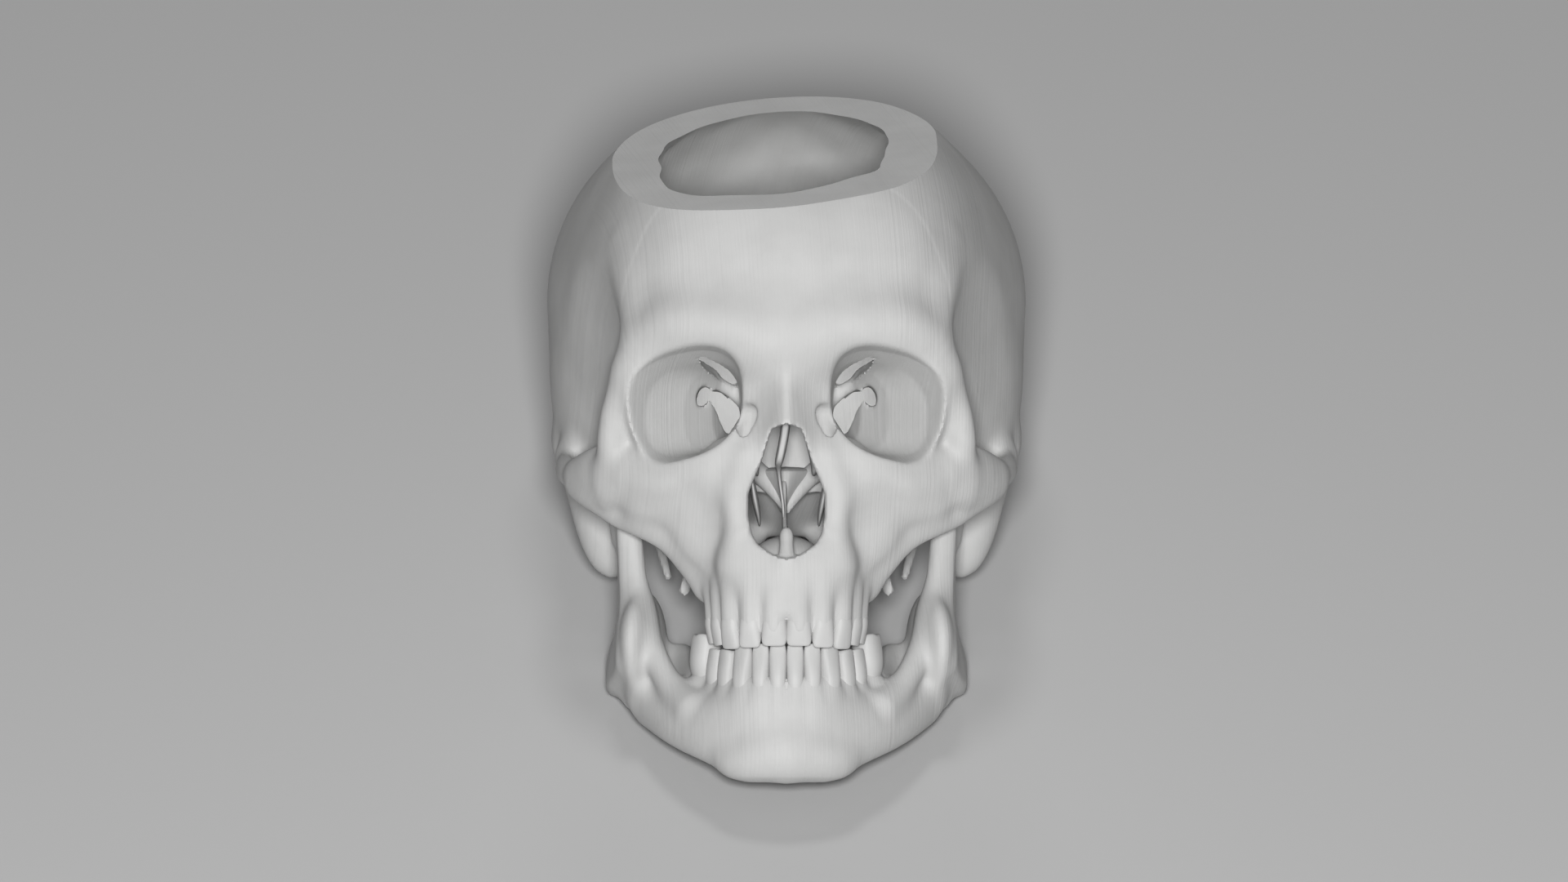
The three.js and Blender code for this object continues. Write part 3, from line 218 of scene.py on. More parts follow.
plate = Plate([(0, 0), (20, 0), (20, 20), (0, 20)], lambda y, z: 0 * y, 2)
print("a plate of half thickness 2 mm, at its middle:", round(float(plate.at(0.0, 10.0, 10.0)), 3))

# %% [markdown]
# The clay itself is a grid. Only half a skull is stored, because the other half is its mirror image. A
# form only touches the part of the grid that it can reach, which keeps the work short.

# %% The grid of clay
OUTSIDE = 60.0      # what the field holds where there is no clay
MARGIN = 3          # how far past its own blend a form is worked out


class Clay:
    """The left half of a body on a grid that has a layer in the middle plane and a few beyond it."""
    def __init__(self, low, high, step):
        self.low, self.step = np.array(low, float), step
        self.low[0] = -step * math.ceil(-low[0] / step)
        self.size = np.ceil((np.array(high) - low) / step).astype(int) + 1
        self.axes = [self.low[k] + step * np.arange(self.size[k], dtype=np.float32) for k in range(3)]
        self.field = np.full(self.size, OUTSIDE, np.float32)

    def part(self, low, high):
        spans = []
        for k in range(3):
            a = int(np.clip(np.floor((low[k] - self.low[k]) / self.step), 0, self.size[k] - 1))
            b = int(np.clip(np.ceil((high[k] - self.low[k]) / self.step) + 1, a + 1, self.size[k]))
            spans.append(slice(a, b))
        x, y, z = (self.axes[k][spans[k]] for k in range(3))
        return tuple(spans), x[:, None, None], y[None, :, None], z[None, None, :]

    def add(self, form, soft=4.0):
        spans, x, y, z = self.part(*form.reach(soft + MARGIN))
        self.field[spans] = blend(self.field[spans], form.at(x, y, z), soft)

    def cut(self, form, soft=3.0):
        spans, x, y, z = self.part(*form.reach(soft + MARGIN))
        self.field[spans] = -blend(-self.field[spans], form.at(x, y, z), soft)

    def mesh(self, name):
        """The whole body, both halves, as a Blender mesh object in the shaping frame."""
        first = int(np.argmin(np.abs(self.axes[0])))
        half = self.field[first:]
        whole = np.ascontiguousarray(np.concatenate([half[:0:-1], half], 0))
        low = np.array([-self.axes[0][-1], self.low[1], self.low[2]])
        grid = openvdb.FloatGrid(OUTSIDE)
        grid.copyFromArray(whole)
        places, threes, fours = grid.convertToPolygons(0.0, 0.0)
        places = np.array(places) * self.step + low
        mesh = bpy.data.meshes.new(name)
        faces = [tuple(map(int, f)) for f in fours] + [tuple(map(int, f)) for f in threes]
        mesh.from_pydata(places.tolist(), [], faces)
        mesh.update()
        thing = bpy.data.objects.new(name, mesh)
        bpy.context.scene.collection.objects.link(thing)
        return thing


STEP = 0.8
print("grid step:", STEP, "mm")

# %% [markdown]
# ## The braincase
#
# The braincase is a long egg that bulges at the forehead, above the ears and low at the back. Seven
# ovals blended into one give it that outline. Below it is trimmed to a rising underside. The hollow
# for the brain is the same egg, thinner by the wall, with a floor in three steps: high over the eye
# sockets, lower at the temples, and lowest at the back.

# %% Braincase form
BRAINCASE = [
    ((0, 14, 42), (69.2, 80.7, 75), 0), ((0, -41, 45), (51, 51, 53), 20), ((0, -10, 56), (59.5, 50, 54), 16),
    ((0, 50, 26), (52, 41, 46), 18), ((34, 27, 52), (34.6, 40, 40), 14), ((38, 8, 16), (30, 38, 34), 14),
    ((27, -38, 50), (26, 41, 44), 16),
]


def egg(x, y, z):
    field = None
    for centre, half, soft in BRAINCASE:
        d = Oval(centre, half).at(x, y, z)
        field = d if field is None else blend(field, d, soft)
    return field


def above_underside(x, y, z):
    """Negative above the underside, which is lowest at the hole for the spinal cord."""
    low = -17 + 10 * np.clip((-y - 5) / 25, 0, 1) + 15.4 * np.clip((y - 58.5) / 24, 0, 1) ** 2
    low = low - 5.2 * np.exp(-((y - 48) / 22) ** 2 - (x / 38) ** 2)
    return low - z


def brain_room(x, y, z):
    """The hollow: a wall that thickens to the crown and at the temple, and a floor in three steps."""
    wall = 6.5 + 3 * np.clip((z - 40) / 50, 0, 1)
    wall = wall + .5 * np.sin(x / 5.5 + z / 9) * np.sin(y / 6.3 + 1) * np.sin(z / 7 + y / 8)
    wall = wall + 6 * np.exp(-((x - 56) / 12) ** 2 - ((y + 36) / 18) ** 2 - ((z - 26) / 22) ** 2)
    front = np.interp(y, (-80, -65, -45), (37, 32, 28)) - 3.5 * np.clip((14 - x) / 6, 0, 1)
    front = front - 12 * np.clip((x - 42) / 12, 0, 1)
    middle = 20 - 22 * np.clip((x - 10) / 14, 0, 1)
    back = -9 + 14 * np.clip((x - 12) / 10, 0, 1) * np.exp(-((y - 2 + .5 * (x - 20)) / 7) ** 2)
    a, b = 1 / (1 + np.exp((y + 36) / 2.5)), 1 / (1 + np.exp(-y / 3.0))
    floor = front * a + middle * (1 - a) * (1 - b) + back * b
    return -blend(-(egg(x, y, z) + wall), -(floor - z), 8)


print("braincase:", len(BRAINCASE), "ovals")

# %% [markdown]
# ## The eye sockets and the nose
#
# An eye socket is a cone whose section is a square with round corners. Its walls are written as a table
# of places along its depth, and the field reads the table at every point. The nose is the same idea:
# a pear-shaped mouth, and a wider cave behind it.

# %% Eye socket and nose rooms
SOCKET_AT = (-110, -92, -80, -70, -60, -50, -42, -36.5)
SOCKET_WALLS = ((13.2, 13.2, 13.2, 13.2, 13.2, 13.4, 14, 14.3), (60, 54.1, 48.7, 42, 30.5, 22, 18.5, 16.7),
                (1, 1, 1, 2.5, 4.1, 6.1, 8.3, 10.6), (36, 34.3, 32.7, 29.7, 27.7, 25.3, 22.8, 20.3))


def eye_socket(x, y, z):
    inner, outer, floor, roof = (np.interp(y, SOCKET_AT, wall) for wall in SOCKET_WALLS)
    cx, cz, hx, hz = (inner + outer) / 2, (floor + roof) / 2, (outer - inner) / 2, (roof - floor) / 2
    u, v = np.abs(x - cx) / hx, np.abs(z - cz + .2 * (x - cx)) / hz
    ring = (u ** 2.5 + v ** 2.5) ** (1 / 2.5)
    return np.maximum((ring - 1) * np.minimum(hx, hz), y + 36.5)


def nose_room(x, y, z):
    deep = np.clip((y + 88) / 12, 0, 1)
    mouth = np.interp(z, (-29, -27.5, -26.5, -24, -21, -16, -9, -4.5, 0, 7, 10.4, 12),
                      (-2, 3, 5, 8.6, 10.2, 11.3, 11.3, 9.6, 7.6, 5.4, 4.2, -1))
    cave = np.interp(z, (-29.5, -28, -10, 0, 10, 20, 22), (-2, 12, 13.5, 10, 6.5, 4, -1))
    cave = cave + .7 * np.sin(z / 1.7 + y / 2.6) * np.sin(y / 2.1 - z / 3) * np.clip((z + 4) / 6, 0, 1)
    return np.maximum((np.abs(x) - mouth * (1 - deep) - cave * deep) * .8, y + 36)


def nose_roof(x, y, z):
    ridge = np.interp(z, (-24, -10, 0, 10, 22, 30, 36), (-94, -95, -97.5, -100, -95, -91.5, -91))
    slope = np.interp(z, (-20, -8, 2, 12, 24, 34), (.5, .8, 1.35, 1.65, 1.6, 1.1))
    roof = (ridge + slope * (np.sqrt(x * x + 4) - 2) - y) / np.sqrt(1 + slope * slope)
    return np.maximum(np.maximum(roof, y + 64), np.maximum(z - 32, -18 - z))


print("eye socket: walls given at", len(SOCKET_AT), "depths")

# %% [markdown]
# ## Pressing the skull out of clay
#
# Rolls and ovals of clay are added in the order that a sculptor would take: the braincase, the hollow of
# the temple, the block of the face, then brows, rims, cheek bone and arch, the rolls over the roots of the
# teeth, and the knobs and spikes of the base. Openings are cut after what they open, and a few thin edges
# are laid over them. Each row holds what is done, the form, and how softly it blends.

# %% Skull clay
skull = Clay((-3, -112, -54), (78, 98, 112), STEP)
for centre, half, soft in BRAINCASE:
    skull.add(Oval(centre, half), soft)
everywhere = skull.part(skull.low, skull.low + STEP * skull.size)[1:]
skull.field = -blend(-skull.field, -above_underside(*everywhere), 14)

UPPER_ROOTS = [(3.7, -91.8, 3.6), (10.5, -89.7, 3.25), (15.8, -85.1, 3.5), (18.7, -78.7, 3.6),
               (20.5, -71.9, 3.6)]
FACE = [
    ("cut", Oval((78, -60, 12), (25, 30, 52), "Z", -24), 12),       # hollow of the temple
    ("cut", Oval((58, -50, -20), (20, 26, 22)), 8),                 # and below the arch
    ("add", Oval((26.5, -62, 16), (20, 30, 20), "Z", 20), 6),       # walls of the eye socket
    ("add", Oval((18, -64, -10), (20, 24, 26)), 10),                # block of the upper jaw
    ("add", Oval((0, -62, 5), (15, 27, 26)), 8),                    # bone between the sockets
    ("add", Bar([(0, -87, 40, 6), (9, -88, 38.5, 6.5), (20, -87, 40.5, 6), (32, -83.5, 40.5, 6),
                 (41, -77, 36, 5.6), (45.5, -72.5, 28, 4)]), 12),   # brow
    ("add", Oval((0, -86, 35), (13, 8, 8)), 8),                     # bulge between the brows
    ("cut", Oval((92.5, -70, 38), (41, 60, 42)), 6),                # hollow behind the temple line
    ("add", Bar([(45.5, -73, 28, 3.4), (42.8, -72, 38, 3.6), (42.5, -67, 50, 4.4),
                 (42.5, -55, 64, 4.6)]), 8),                        # temple line
    ("add", Bar([(46.8, -72.5, 27, 3.8), (50.2, -70, 18, 4.4), (51.6, -68.5, 11, 4.6), (51.8, -66.5, 4, 4.8),
                 (49.5, -63.5, -4, 5)], ((1, .5, 0), .9)), 5),      # side rim
    ("add", Oval((40.5, -67, -7), (11.5, 8, 11.5), "Z", 40), 7),    # cheek bone
    ("add", Bar([(45.5, -69, -3, 4.4), (40, -73, -5, 4.6), (33, -78, -5.5, 4.2), (24, -82, -2, 4),
                 (17, -83.5, 4, 3.2), (14, -79, 13, 2.4)]), 5),     # lower rim
    ("add", Bar([(59.5, -46.5, -6.5, 3.6), (55.5, -51, -10.5, 3.6), (50, -56.5, -15.6, 3.4),
                 (45, -61.5, -18, 3.4), (39.5, -64.5, -20.2, 3.6), (34.5, -66, -23, 3.8),
                 (29.5, -66, -27.5, 4.2), (24, -65, -36, 4)]), 5),  # lower border of the cheek bone
    ("add", Oval((54.2, -57.5, -3), (13, 4.6, 7.6), "Z", 59), 5),   # outer face of the cheek bone
    ("add", Bar([(53, -58, -5.5, 5.6), (59, -49.5, -5, 5), (63.5, -39, -3.4, 4.6), (65.8, -28, -2, 4.4),
                 (66, -18, -1.2, 4.3), (64.5, -8, .5, 4.5), (62, 4, 3, 4)],
                ((1, .3, 0), .62)), 8),                             # arch of the cheek
    ("add", Bar([(64, -8, 1, 4), (55, -10, 5, 5), (48, -12, 8, 6)]), 6),        # root of the arch
    ("add", Bar([(12, -87, 2, 2.6), (14, -87, -6, 3.4), (15.6, -87, -16, 3.6),
                 (15.6, -87, -30, 3.4)]), 6),                       # pillar beside the nose
    ("add", Rule(nose_roof, (-3, -104, -20), (18, -62, 36)), 5),    # bridge of the nose
    ("cut", Oval((30, -88.5, -20), (9, 7, 10)), 9),                 # hollow beside the nose
    ("add", Bar([(0, -88.2, -36, 5.4), (9, -86.6, -36, 5.4), (14.6, -81.6, -36, 5.2), (18, -74, -36, 5.2),
                 (20.2, -60, -35, 5.2), (21, -46, -32, 5)], ((0, 0, 1), 1.4)), 6),  # ridge for the teeth
    *[("add", Bar([(x * .93, y * .97, -31, r * .6), (x, y, -39, r), (x, y, -48.6, r)]), 2.6)
      for x, y, r in UPPER_ROOTS],
    ("add", Bar([(0, -92, -33, 2), (0, -93.4, -43, 2)]), 3),        # seam between the jaw halves
    ("add", Oval((0, -86, -29), (18, 7, 9)), 8),
    ("add", Bar([(0, -91, -28, 3), (0, -97, -24.5, 1.4)]), 4),      # spine below the nose
    ("add", Bar([(57, 13, 3, 10.5), (56, 12, -10, 9.5), (54.6, 10.5, -20, 8.2), (53.4, 10, -27, 6.2),
                 (52.3, 9.5, -30.5, 4)]), 8),                       # knob behind the ear
    ("add", Bar([(61, 8, 6, 6), (62, 24, 8, 5), (59, 40, 4, 5)]), 8),           # ridge above it
    ("add", Oval((0, 81, 2), (6, 4.4, 4)), 5),                      # bump at the back of the head
    ("add", Bar([(18, 14, -21, 4.5), (14, 2, -24, 5), (11, -6, -22, 4)]), 4),   # swelling for the neck joint
    ("add", Bar([(0, -2, -14, 8), (0, -18, -6, 9), (0, -32, 2, 10)], ((1, 0, 0), 1.6)), 6),
    ("add", Bar([(41, 5, -10, 3.5), (39, 1, -20, 2), (35.5, -4, -34, 1.1)]), 3),            # spike
    ("add", Bar([(13, -34, -4, 4), (16, -36, -18, 3.2), (17, -35, -33, 2.2)],
                ((1, -.4, 0), .5)), 4),                             # inner plate behind the upper jaw
    ("add", Bar([(17, -36, -14, 3.4), (23, -36, -24, 2.8), (28.5, -35, -33, 2.2), (30.5, -35, -38, 1.7)],
                ((.5, 1, 0), .6)), 4),                              # and the outer one
    ("add", Bar([(19, -44, -24, 4), (21, -42, -32, 3.6)]), 4),      # rear end of the upper jaw
    ("cut", Oval((51, -12, -5.5), (9, 4.9, 4.9)), 1),               # hollow for the head of the jaw
    ("cut", Oval((51, -11.5, -9.5), (11.5, 7.8, 7.5)), 3),
    ("add", Bar([(44, -24, -4, 4), (58, -25, -4, 4)]), 4),          # step in front of it
    ("cut", Bar([(74, 1, 0, 4), (52, -1, 0, 3)]), 3),               # ear hole
    ("cut", Rule(brain_room, (-3, -90, -20), (78, 98, 126)), 2),
    ("cut", Oval((0, 18, -20), (15, 18, 22)), 3),                   # hole for the spinal cord
    ("cut", Rule(eye_socket, (8, -112, -6), (60, -36, 44)), 1.4),
    ("cut", Bar([(16.5, -26, 12, 4.4), (17.8, -38, 13.6, 4.8), (20.5, -44, 18, 3.4),
                 (25.5, -50, 21.5, 2.4)]), 1),                      # lower slit
    ("cut", Bar([(25.5, -72, 34.5, 3), (22, -62, 31.5, 3.8), (18.5, -52, 28.6, 3.8),
                 (16, -42, 25.4, 3)]), 1),                          # upper slit
    ("cut", Bar([(25.2, -54, 20, 3), (24.6, -40, 19.4, 3.4), (23.6, -28, 19, 3.8)], ((1, 0, .3), .62)), 1),
    ("cut", Bar([(22.6, -48, 19.6, 2.2), (20.6, -38, 18.4, 2.8), (19, -26, 17, 3.2)]), 1),
    ("cut", Bar([(14.5, -33, 20, 2.2), (15, -42, 20.5, 2.2)]), .8),             # hole for the eye's nerve
    ("add", Bar([(23.5, -48, 26, 1.8), (18.5, -46, 22.8, 1.7), (13, -44, 18.4, 2)]), 1.5),  # small wing
    ("add", Oval((19.3, -66, 4.4), (5, 7, 2.8), "Y", 30), 2),       # bump on the floor of the socket
    ("cut", Bar([(16, -42, 9.5, 2), (19, -53, 5.6, 1.6), (24, -63, 2, 1.2)]), 1.2),     # slit in the floor
    ("add", Bar([(13.5, -54, 5.5, 2), (18, -58, 3.4, 1.5), (23, -62, 3, 1.2)]), 2),
    ("cut", Bar([(11, -84, 14, 3.4), (12.4, -82, 2, 2.4), (12.5, -80, -6, 2)]), 2),     # tear groove
    ("cut", Rule(nose_room, (-3, -112, -32), (18, -34, 22)), 1.2),
    ("add", Oval((0, -67, -34), (13.5, 12.5, 12.4)), 3),            # floor of the nose, rising to the back
    ("cut", Oval((0, -60, -42), (14.5, 24, 9)), 5),                 # vault of the palate
    ("add", Bar([(0, -90.5, -29, 2.6), (0, -88, -24.5, 2.1), (0, -86, -20.4, 1.5)]), 1.6),  # crest in front
    ("add", Bar([(0, -86, -22, 1.6), (0, -76, -22, 1.4), (0, -60, -23, 1.2)]), 2),      # and along the floor
    ("add", Bar([(0, -46, -14, 1.2), (3, -45, -9, 2.2), (7, -42, -4, 3),
                 (12, -40, 0, 3)]), 3),                             # rear roof of the nose
]
for kind, form, soft in FACE:
    (skull.add if kind == "add" else skull.cut)(form, soft)
print("skull clay:", len(FACE), "forms on a grid of", skull.size, "points")

# %% [markdown]
# ## The lower jaw
#
# The lower jaw is a horseshoe with two upright plates. Its body is a flattened roll, with a heavier
# lower border, a chin, and a thinner rim that carries the teeth. The plate is an outline with its notch
# and its two horns, bent so that it leans outward at the angle.

# %% Jaw clay
jaw = Clay((-3, -104, -102), (66, 6, 6), STEP)
RAMUS = [(-46, -64), (-21, -69.6), (-12.4, -63.4), (-8.5, -52), (-10, -36), (-11, -22), (-8, -10),
         (-12, -6), (-18, -10), (-22, -19), (-29, -22), (-36, -18), (-42, -9), (-46, -16), (-45, -30),
         (-48, -46), (-54, -58)]


def ramus_middle(y, z):
    """The plate leans outward at the angle of the jaw, and inward where it meets the body."""
    outward = 3.2 * np.clip((-z - 45) / 20, 0, 1)
    inward = 2.5 * np.clip((-y - 30) / 20, 0, 1) * np.clip((-z - 20) / 40, 0, 1)
    return 47.6 + outward - inward


JAW = [
    (Bar([(0, -85, -81, 8.5), (12, -83, -80.5, 8.5), (22.5, -75.5, -78.5, 8), (30.5, -64, -75.5, 7.8),
          (37.5, -50, -70.5, 8), (43.5, -35, -65, 8), (46.5, -22, -60, 7)],
         ((.5, -.6, 0), .62)), 0),                                  # body
    (Bar([(0, -84, -86.5, 7), (13, -81, -86.5, 6), (23, -73, -82.5, 5), (31.5, -61, -78, 5),
          (39, -45, -73, 5)]), 6),                                  # lower border
    (Oval((42.8, -41, -54), (6, 20, 16), "Z", 12), 7),
    (Oval((0, -87, -87), (12, 6, 7)), 6),                           # chin
    (Oval((12.5, -83.5, -88.5), (6.5, 5, 4.6)), 6),                 # and its corner
    (Bar([(0, -85, -71.5, 4.8), (9, -84, -71.5, 4.8), (15, -78.5, -71.5, 4.8), (19, -70, -70.5, 5),
          (23.4, -60, -67.5, 5.4), (27, -47, -65, 5.5), (31, -35, -61, 5)],
         ((0, 0, 1), 1.4)), 5),                                     # rim that carries the teeth
    (Plate(RAMUS, ramus_middle, 2.9, 2.2), 4),
    (Bar([(48.5, -12, -22, 3.6), (50.5, -12, -10, 4)]), 4),         # neck
    (Oval((51, -12, -5.5), (8.5, 4.4, 4.4)), 3),                    # and head of the jaw
    (Bar([(46.5, -43, -12, 2.2), (45, -44, -30, 2.5), (42.5, -48, -46, 3), (38.5, -55, -58, 3.4),
          (34, -63, -67, 3.6), (29, -71, -72, 3.6)]), 4),           # ridge down the front edge
    (Bar([(49, -15, -60.5, 3.1), (47.3, -22, -65, 3.4), (44, -34, -69, 3.8)]), 4),      # angle of the jaw
]
LOWER_ROOTS = [(2.5, -87.4, 2.7), (7.5, -86.2, 2.7), (12.5, -82.8, 3.2), (16.8, -77.2, 3.3),
               (20, -70.8, 3.3), (23.8, -63, 4.4)]
JAW += [(Bar([(x * 1.02, y * 1.01, -80, r * .7), (x, y, -72, r), (x, y, -65.5, r)]), 2.4)
        for x, y, r in LOWER_ROOTS]
for form, soft in JAW:
    jaw.add(form, soft)
print("jaw clay:", len(JAW), "forms on a grid of", jaw.size, "points")

# %% [markdown]
# ## From clay to mesh, and the cut across the crown
#
# The two halves are meshed in one go by a level-set mesher, which gives even four-sided faces. Each
# cutting block is an outline extruded by bmesh. A boolean modifier with the manifold solver keeps cut
# edges crisp, as a saw would. The crown is cut flat by one large block, pitched and rolled a little.

# %% Blocks, booleans and the crown
crowd = bpy.context.scene.collection


def block(name, outline, axis, start, end):
    """A closed block: an outline across an axis, extruded along it from start to end."""
    shape = bmesh.new()
    along = "XYZ".index(axis)
    places = [(*p[:along], start, *p[along:]) for p in outline]
    face = shape.faces.new([shape.verts.new(place) for place in places])
    far = bmesh.ops.extrude_face_region(shape, geom=[face])["geom"]
    step = Vector([(end - start) if axis == k else 0.0 for k in "XYZ"])
    bmesh.ops.translate(shape, verts=[g for g in far if isinstance(g, bmesh.types.BMVert)], vec=step)
    bmesh.ops.recalc_face_normals(shape, faces=shape.faces)
    return made(name, shape)


def made(name, shape):
    mesh = bpy.data.meshes.new(name)
    shape.to_mesh(mesh)
    shape.free()
    thing = bpy.data.objects.new(name, mesh)
    crowd.objects.link(thing)
    return thing


def boolean(body, cutter, operation):
    """Applies one boolean to a body and returns the new mesh; the body keeps its own."""
    tool = body.modifiers.new("cut", "BOOLEAN")
    tool.operation, tool.solver, tool.object = operation, "MANIFOLD", cutter
    bpy.context.view_layer.update()
    mesh = bpy.data.meshes.new_from_object(body.evaluated_get(bpy.context.evaluated_depsgraph_get()))
    body.modifiers.remove(tool)
    return mesh


def drop(*things):
    for thing in things:
        bpy.data.objects.remove(thing)


skull_body, jaw_body = skull.mesh("skull_body"), jaw.mesh("jaw_body")
CUT_HEIGHT, CUT_ROLL, CUT_PITCH = 97.88, math.radians(-4.6), math.radians(14.8)
saw = block("saw", [(-200, -200), (200, -200), (200, 200), (-200, 200)], "Z", 0, 100)
saw.data.transform(Matrix.Translation((0, 0, CUT_HEIGHT)) @ Matrix.Rotation(CUT_ROLL, 4, "Y")
                   @ Matrix.Rotation(CUT_PITCH, 4, "X"))
skull_body.data = boolean(skull_body, saw, "DIFFERENCE")
drop(saw)
print("skull:", len(skull_body.data.polygons), "faces, jaw:", len(jaw_body.data.polygons), "faces")

# %% [markdown]
# ## Taking the bones apart
#
# Real bones of the skull meet in seams. Each seam is a line of points; a smooth curve through them and
# a few far corners close an outline, and the block made from it takes one bone out of the skull. The
# order matters: what one bone takes isn't there for the next, so few outlines are needed.

# %% Seams
def curve(points, pieces):
    """Points along a smooth curve through a seam's points."""
    p = np.array(points, float)
    q = np.vstack([p[0] * 2 - p[1], p, p[-1] * 2 - p[-2]])
    out = []
    for n in range(pieces + 1):
        s = n / pieces * (len(p) - 1)
        i = min(int(s), len(p) - 2)
        t = s - i
        out.append(tuple(spline(*q[i:i + 4], t)))
    return out


def both_sides(points):
    """The points and their mirror image, without doubles in the middle."""
    whole = [tuple(p) for p in points] + [(-u, v) for u, v in reversed(points)]
    last = len(whole) - 1
    doubled = [i for i in range(1, last + 1) if whole[i][0] == 0 and (whole[i - 1][0] == 0 or i == last)]
    return [p for i, p in enumerate(whole) if i not in doubled]


def sided(points, side):
    return [(side * u, v) for u, v in points]


LAMBDOID = [(0, 66), (20, 52), (38, 33), (50, 17), (56, 4)]
BASE = [(9, -25), (11, -8), (20, 5), (31, 11), (40, 22), (45, 36), (50, 46)]
SQUAMOUS = [(46, 4), (34, 8), (24, 10), (19, 22), (8, 36), (-8, 42), (-22, 38), (-31, 26), (-34, 10),
            (-37, 0), (-39, -6)]
CORONAL = [(-4, 130), (-10, 95), (-20, 68), (-36, 40)]
FRONTAL_LOW = [(-36, 40), (-50, 34), (-60, 27), (-68, 23.5), (-80, 23.5)]
SPHENOID = [(0, -42), (14, -42), (20, -45), (30, -55), (38, -61), (47, -64.5), (50, -55), (56, -40),
            (58, -25)]
CHEEK = [(30, 5), (29, -3), (33, -10), (40, -17), (45, -30)]
NASAL = [(3.4, 40), (3.4, 26), (4.8, 18), (7.5, 6)]
print("the back seam runs through", len(curve(LAMBDOID, 15)), "points a side")

# %% [markdown]
# Some bones need more than one block: two blocks may be joined, or only what they share may be kept. What
# a block shares with the skull becomes the bone, and the same block is then cut out of the skull.

# %% Bones
FAR = 130       # past the skull on every side
SIDES = (("left", 1), ("right", -1))


def take(whole, name, *blocks):
    """Takes what lies in the blocks out of the whole; the rest of it stays for the next bones."""
    for other in blocks[1:]:
        blocks[0].data = boolean(blocks[0], other, "UNION")
    bone = bpy.data.objects.new(name, boolean(whole, blocks[0], "INTERSECT"))
    crowd.objects.link(bone)
    whole.data = boolean(whole, blocks[0], "DIFFERENCE")
    drop(*blocks)
    return bone


def middle_block(side):
    return block("half", [(0, -200), (side * 200, -200), (side * 200, 200), (0, 200)], "Z", -150, 150)


def meeting(first, second):
    """What two blocks share."""
    first.data = boolean(first, second, "INTERSECT")
    drop(second)
    return first


def box_block(low, high, side=1):
    return block("box", [(side * low[0], low[1]), (side * high[0], low[1]), (side * high[0], high[1]),
                         (side * low[0], high[1])], "Z", low[2], high[2])


bones = {}
bones["occipital_bone"] = take(
    skull_body, "occipital",
    block("a", both_sides(curve(LAMBDOID, 15) + [(100, 4), (100, -60)]), "Y", 44, FAR),
    block("b", both_sides(curve(BASE, 18)), "Z", -70, 5))
for word, side in SIDES:
    close = [(-36, -14), (-26, -15), (-25, -60), (46, -60)]
    bones["temporal_" + word] = take(skull_body, "temporal_" + word, block(
        "a", curve(SQUAMOUS, 40) + close, "X", *((10, FAR) if side > 0 else (-FAR, -10))))
above_brows = [(-88, 26), (-130, 28), (-130, 140)]
bones["frontal_bone"] = take(skull_body, "frontal", block(
    "a", curve(CORONAL, 15) + curve(FRONTAL_LOW, 15)[1:] + above_brows, "X", -FAR, FAR))
behind = [(-12, 140), (-36, 40), (-31, 26), (8, 26), (16, -10), (120, -10), (120, 140)]
for word, side in SIDES:
    rear = block("a", behind, "X", -FAR, FAR)
    bones["parietal_" + word] = take(skull_body, "parietal_" + word, meeting(rear, middle_block(side)))
bones["sphenoid_bone"] = take(skull_body, "sphenoid", block(
    "a", both_sides(curve(SPHENOID, 24) + [(60, 10)]), "Z", -50, 50))
for word, side in SIDES:
    roof = block("a", sided([(-20, 40)] + curve(NASAL, 9) + [(7.5, 0), (-20, 0)], side), "Y", -130, -86)
    bones["nasal_" + word] = take(skull_body, "nasal_" + word, meeting(roof, middle_block(side)))
for word, side in SIDES:
    tear_box = box_block((9.5, -80.5, 3), (18, -75.5, 20), side)
    bones["lacrimal_" + word] = take(skull_body, "lacrimal_" + word, tear_box)
    bones["zygomatic_" + word] = take(skull_body, "zygomatic_" + word, block(
        "a", sided(curve(CHEEK, 18) + [(90, -60), (90, 50), (40, 50)], side), "Y", -120, -30))
    palate_box = box_block((0, -54, -50), (19, -30, -20), side)
    bones["palatine_" + word] = take(skull_body, "palatine_" + word, palate_box)
bones["ethmoid_bone"] = take(skull_body, "ethmoid", box_block((-17, -76, 2), (17, -30, 40)))
for word, side in SIDES:
    bones["maxilla_" + word] = take(skull_body, "maxilla_" + word, middle_block(side))
drop(skull_body)


def brush_off(bone, fewest=80):
    """Deletes the crumbs that the cuts left: loose bits of few vertices."""
    shape = bmesh.new()
    shape.from_mesh(bone.data)
    left = set(shape.verts)
    crumbs = []
    while left:
        bit, edge = set(), [left.pop()]
        while edge:
            v = edge.pop()
            bit.add(v)
            near = [e.other_vert(v) for e in v.link_edges]
            edge += [w for w in near if w in left]
            left.difference_update(near)
        crumbs += bit if len(bit) < fewest else []
    bmesh.ops.delete(shape, geom=crumbs, context="VERTS")
    shape.to_mesh(bone.data)
    shape.free()


for bone in bones.values():
    brush_off(bone)
bones["mandible"] = jaw_body
jaw_body.name = "lower_jaw"
for node, bone in bones.items():
    print(node, len(bone.data.polygons), "faces")

# %% [markdown]
# ## Stacks: teeth and thin bones
#
# A tooth is a stack of rounded rings: a root, a neck, the widest ring where it touches its neighbours,
# and a biting edge. Bmesh extrudes each ring's edges from the last one and the new ring is moved to its
# place, which leaves clean bands of four-sided faces for a subdivision surface. The bent plates of the
# septum and the rolled shells of the nose are stacks too, of long flat rings.

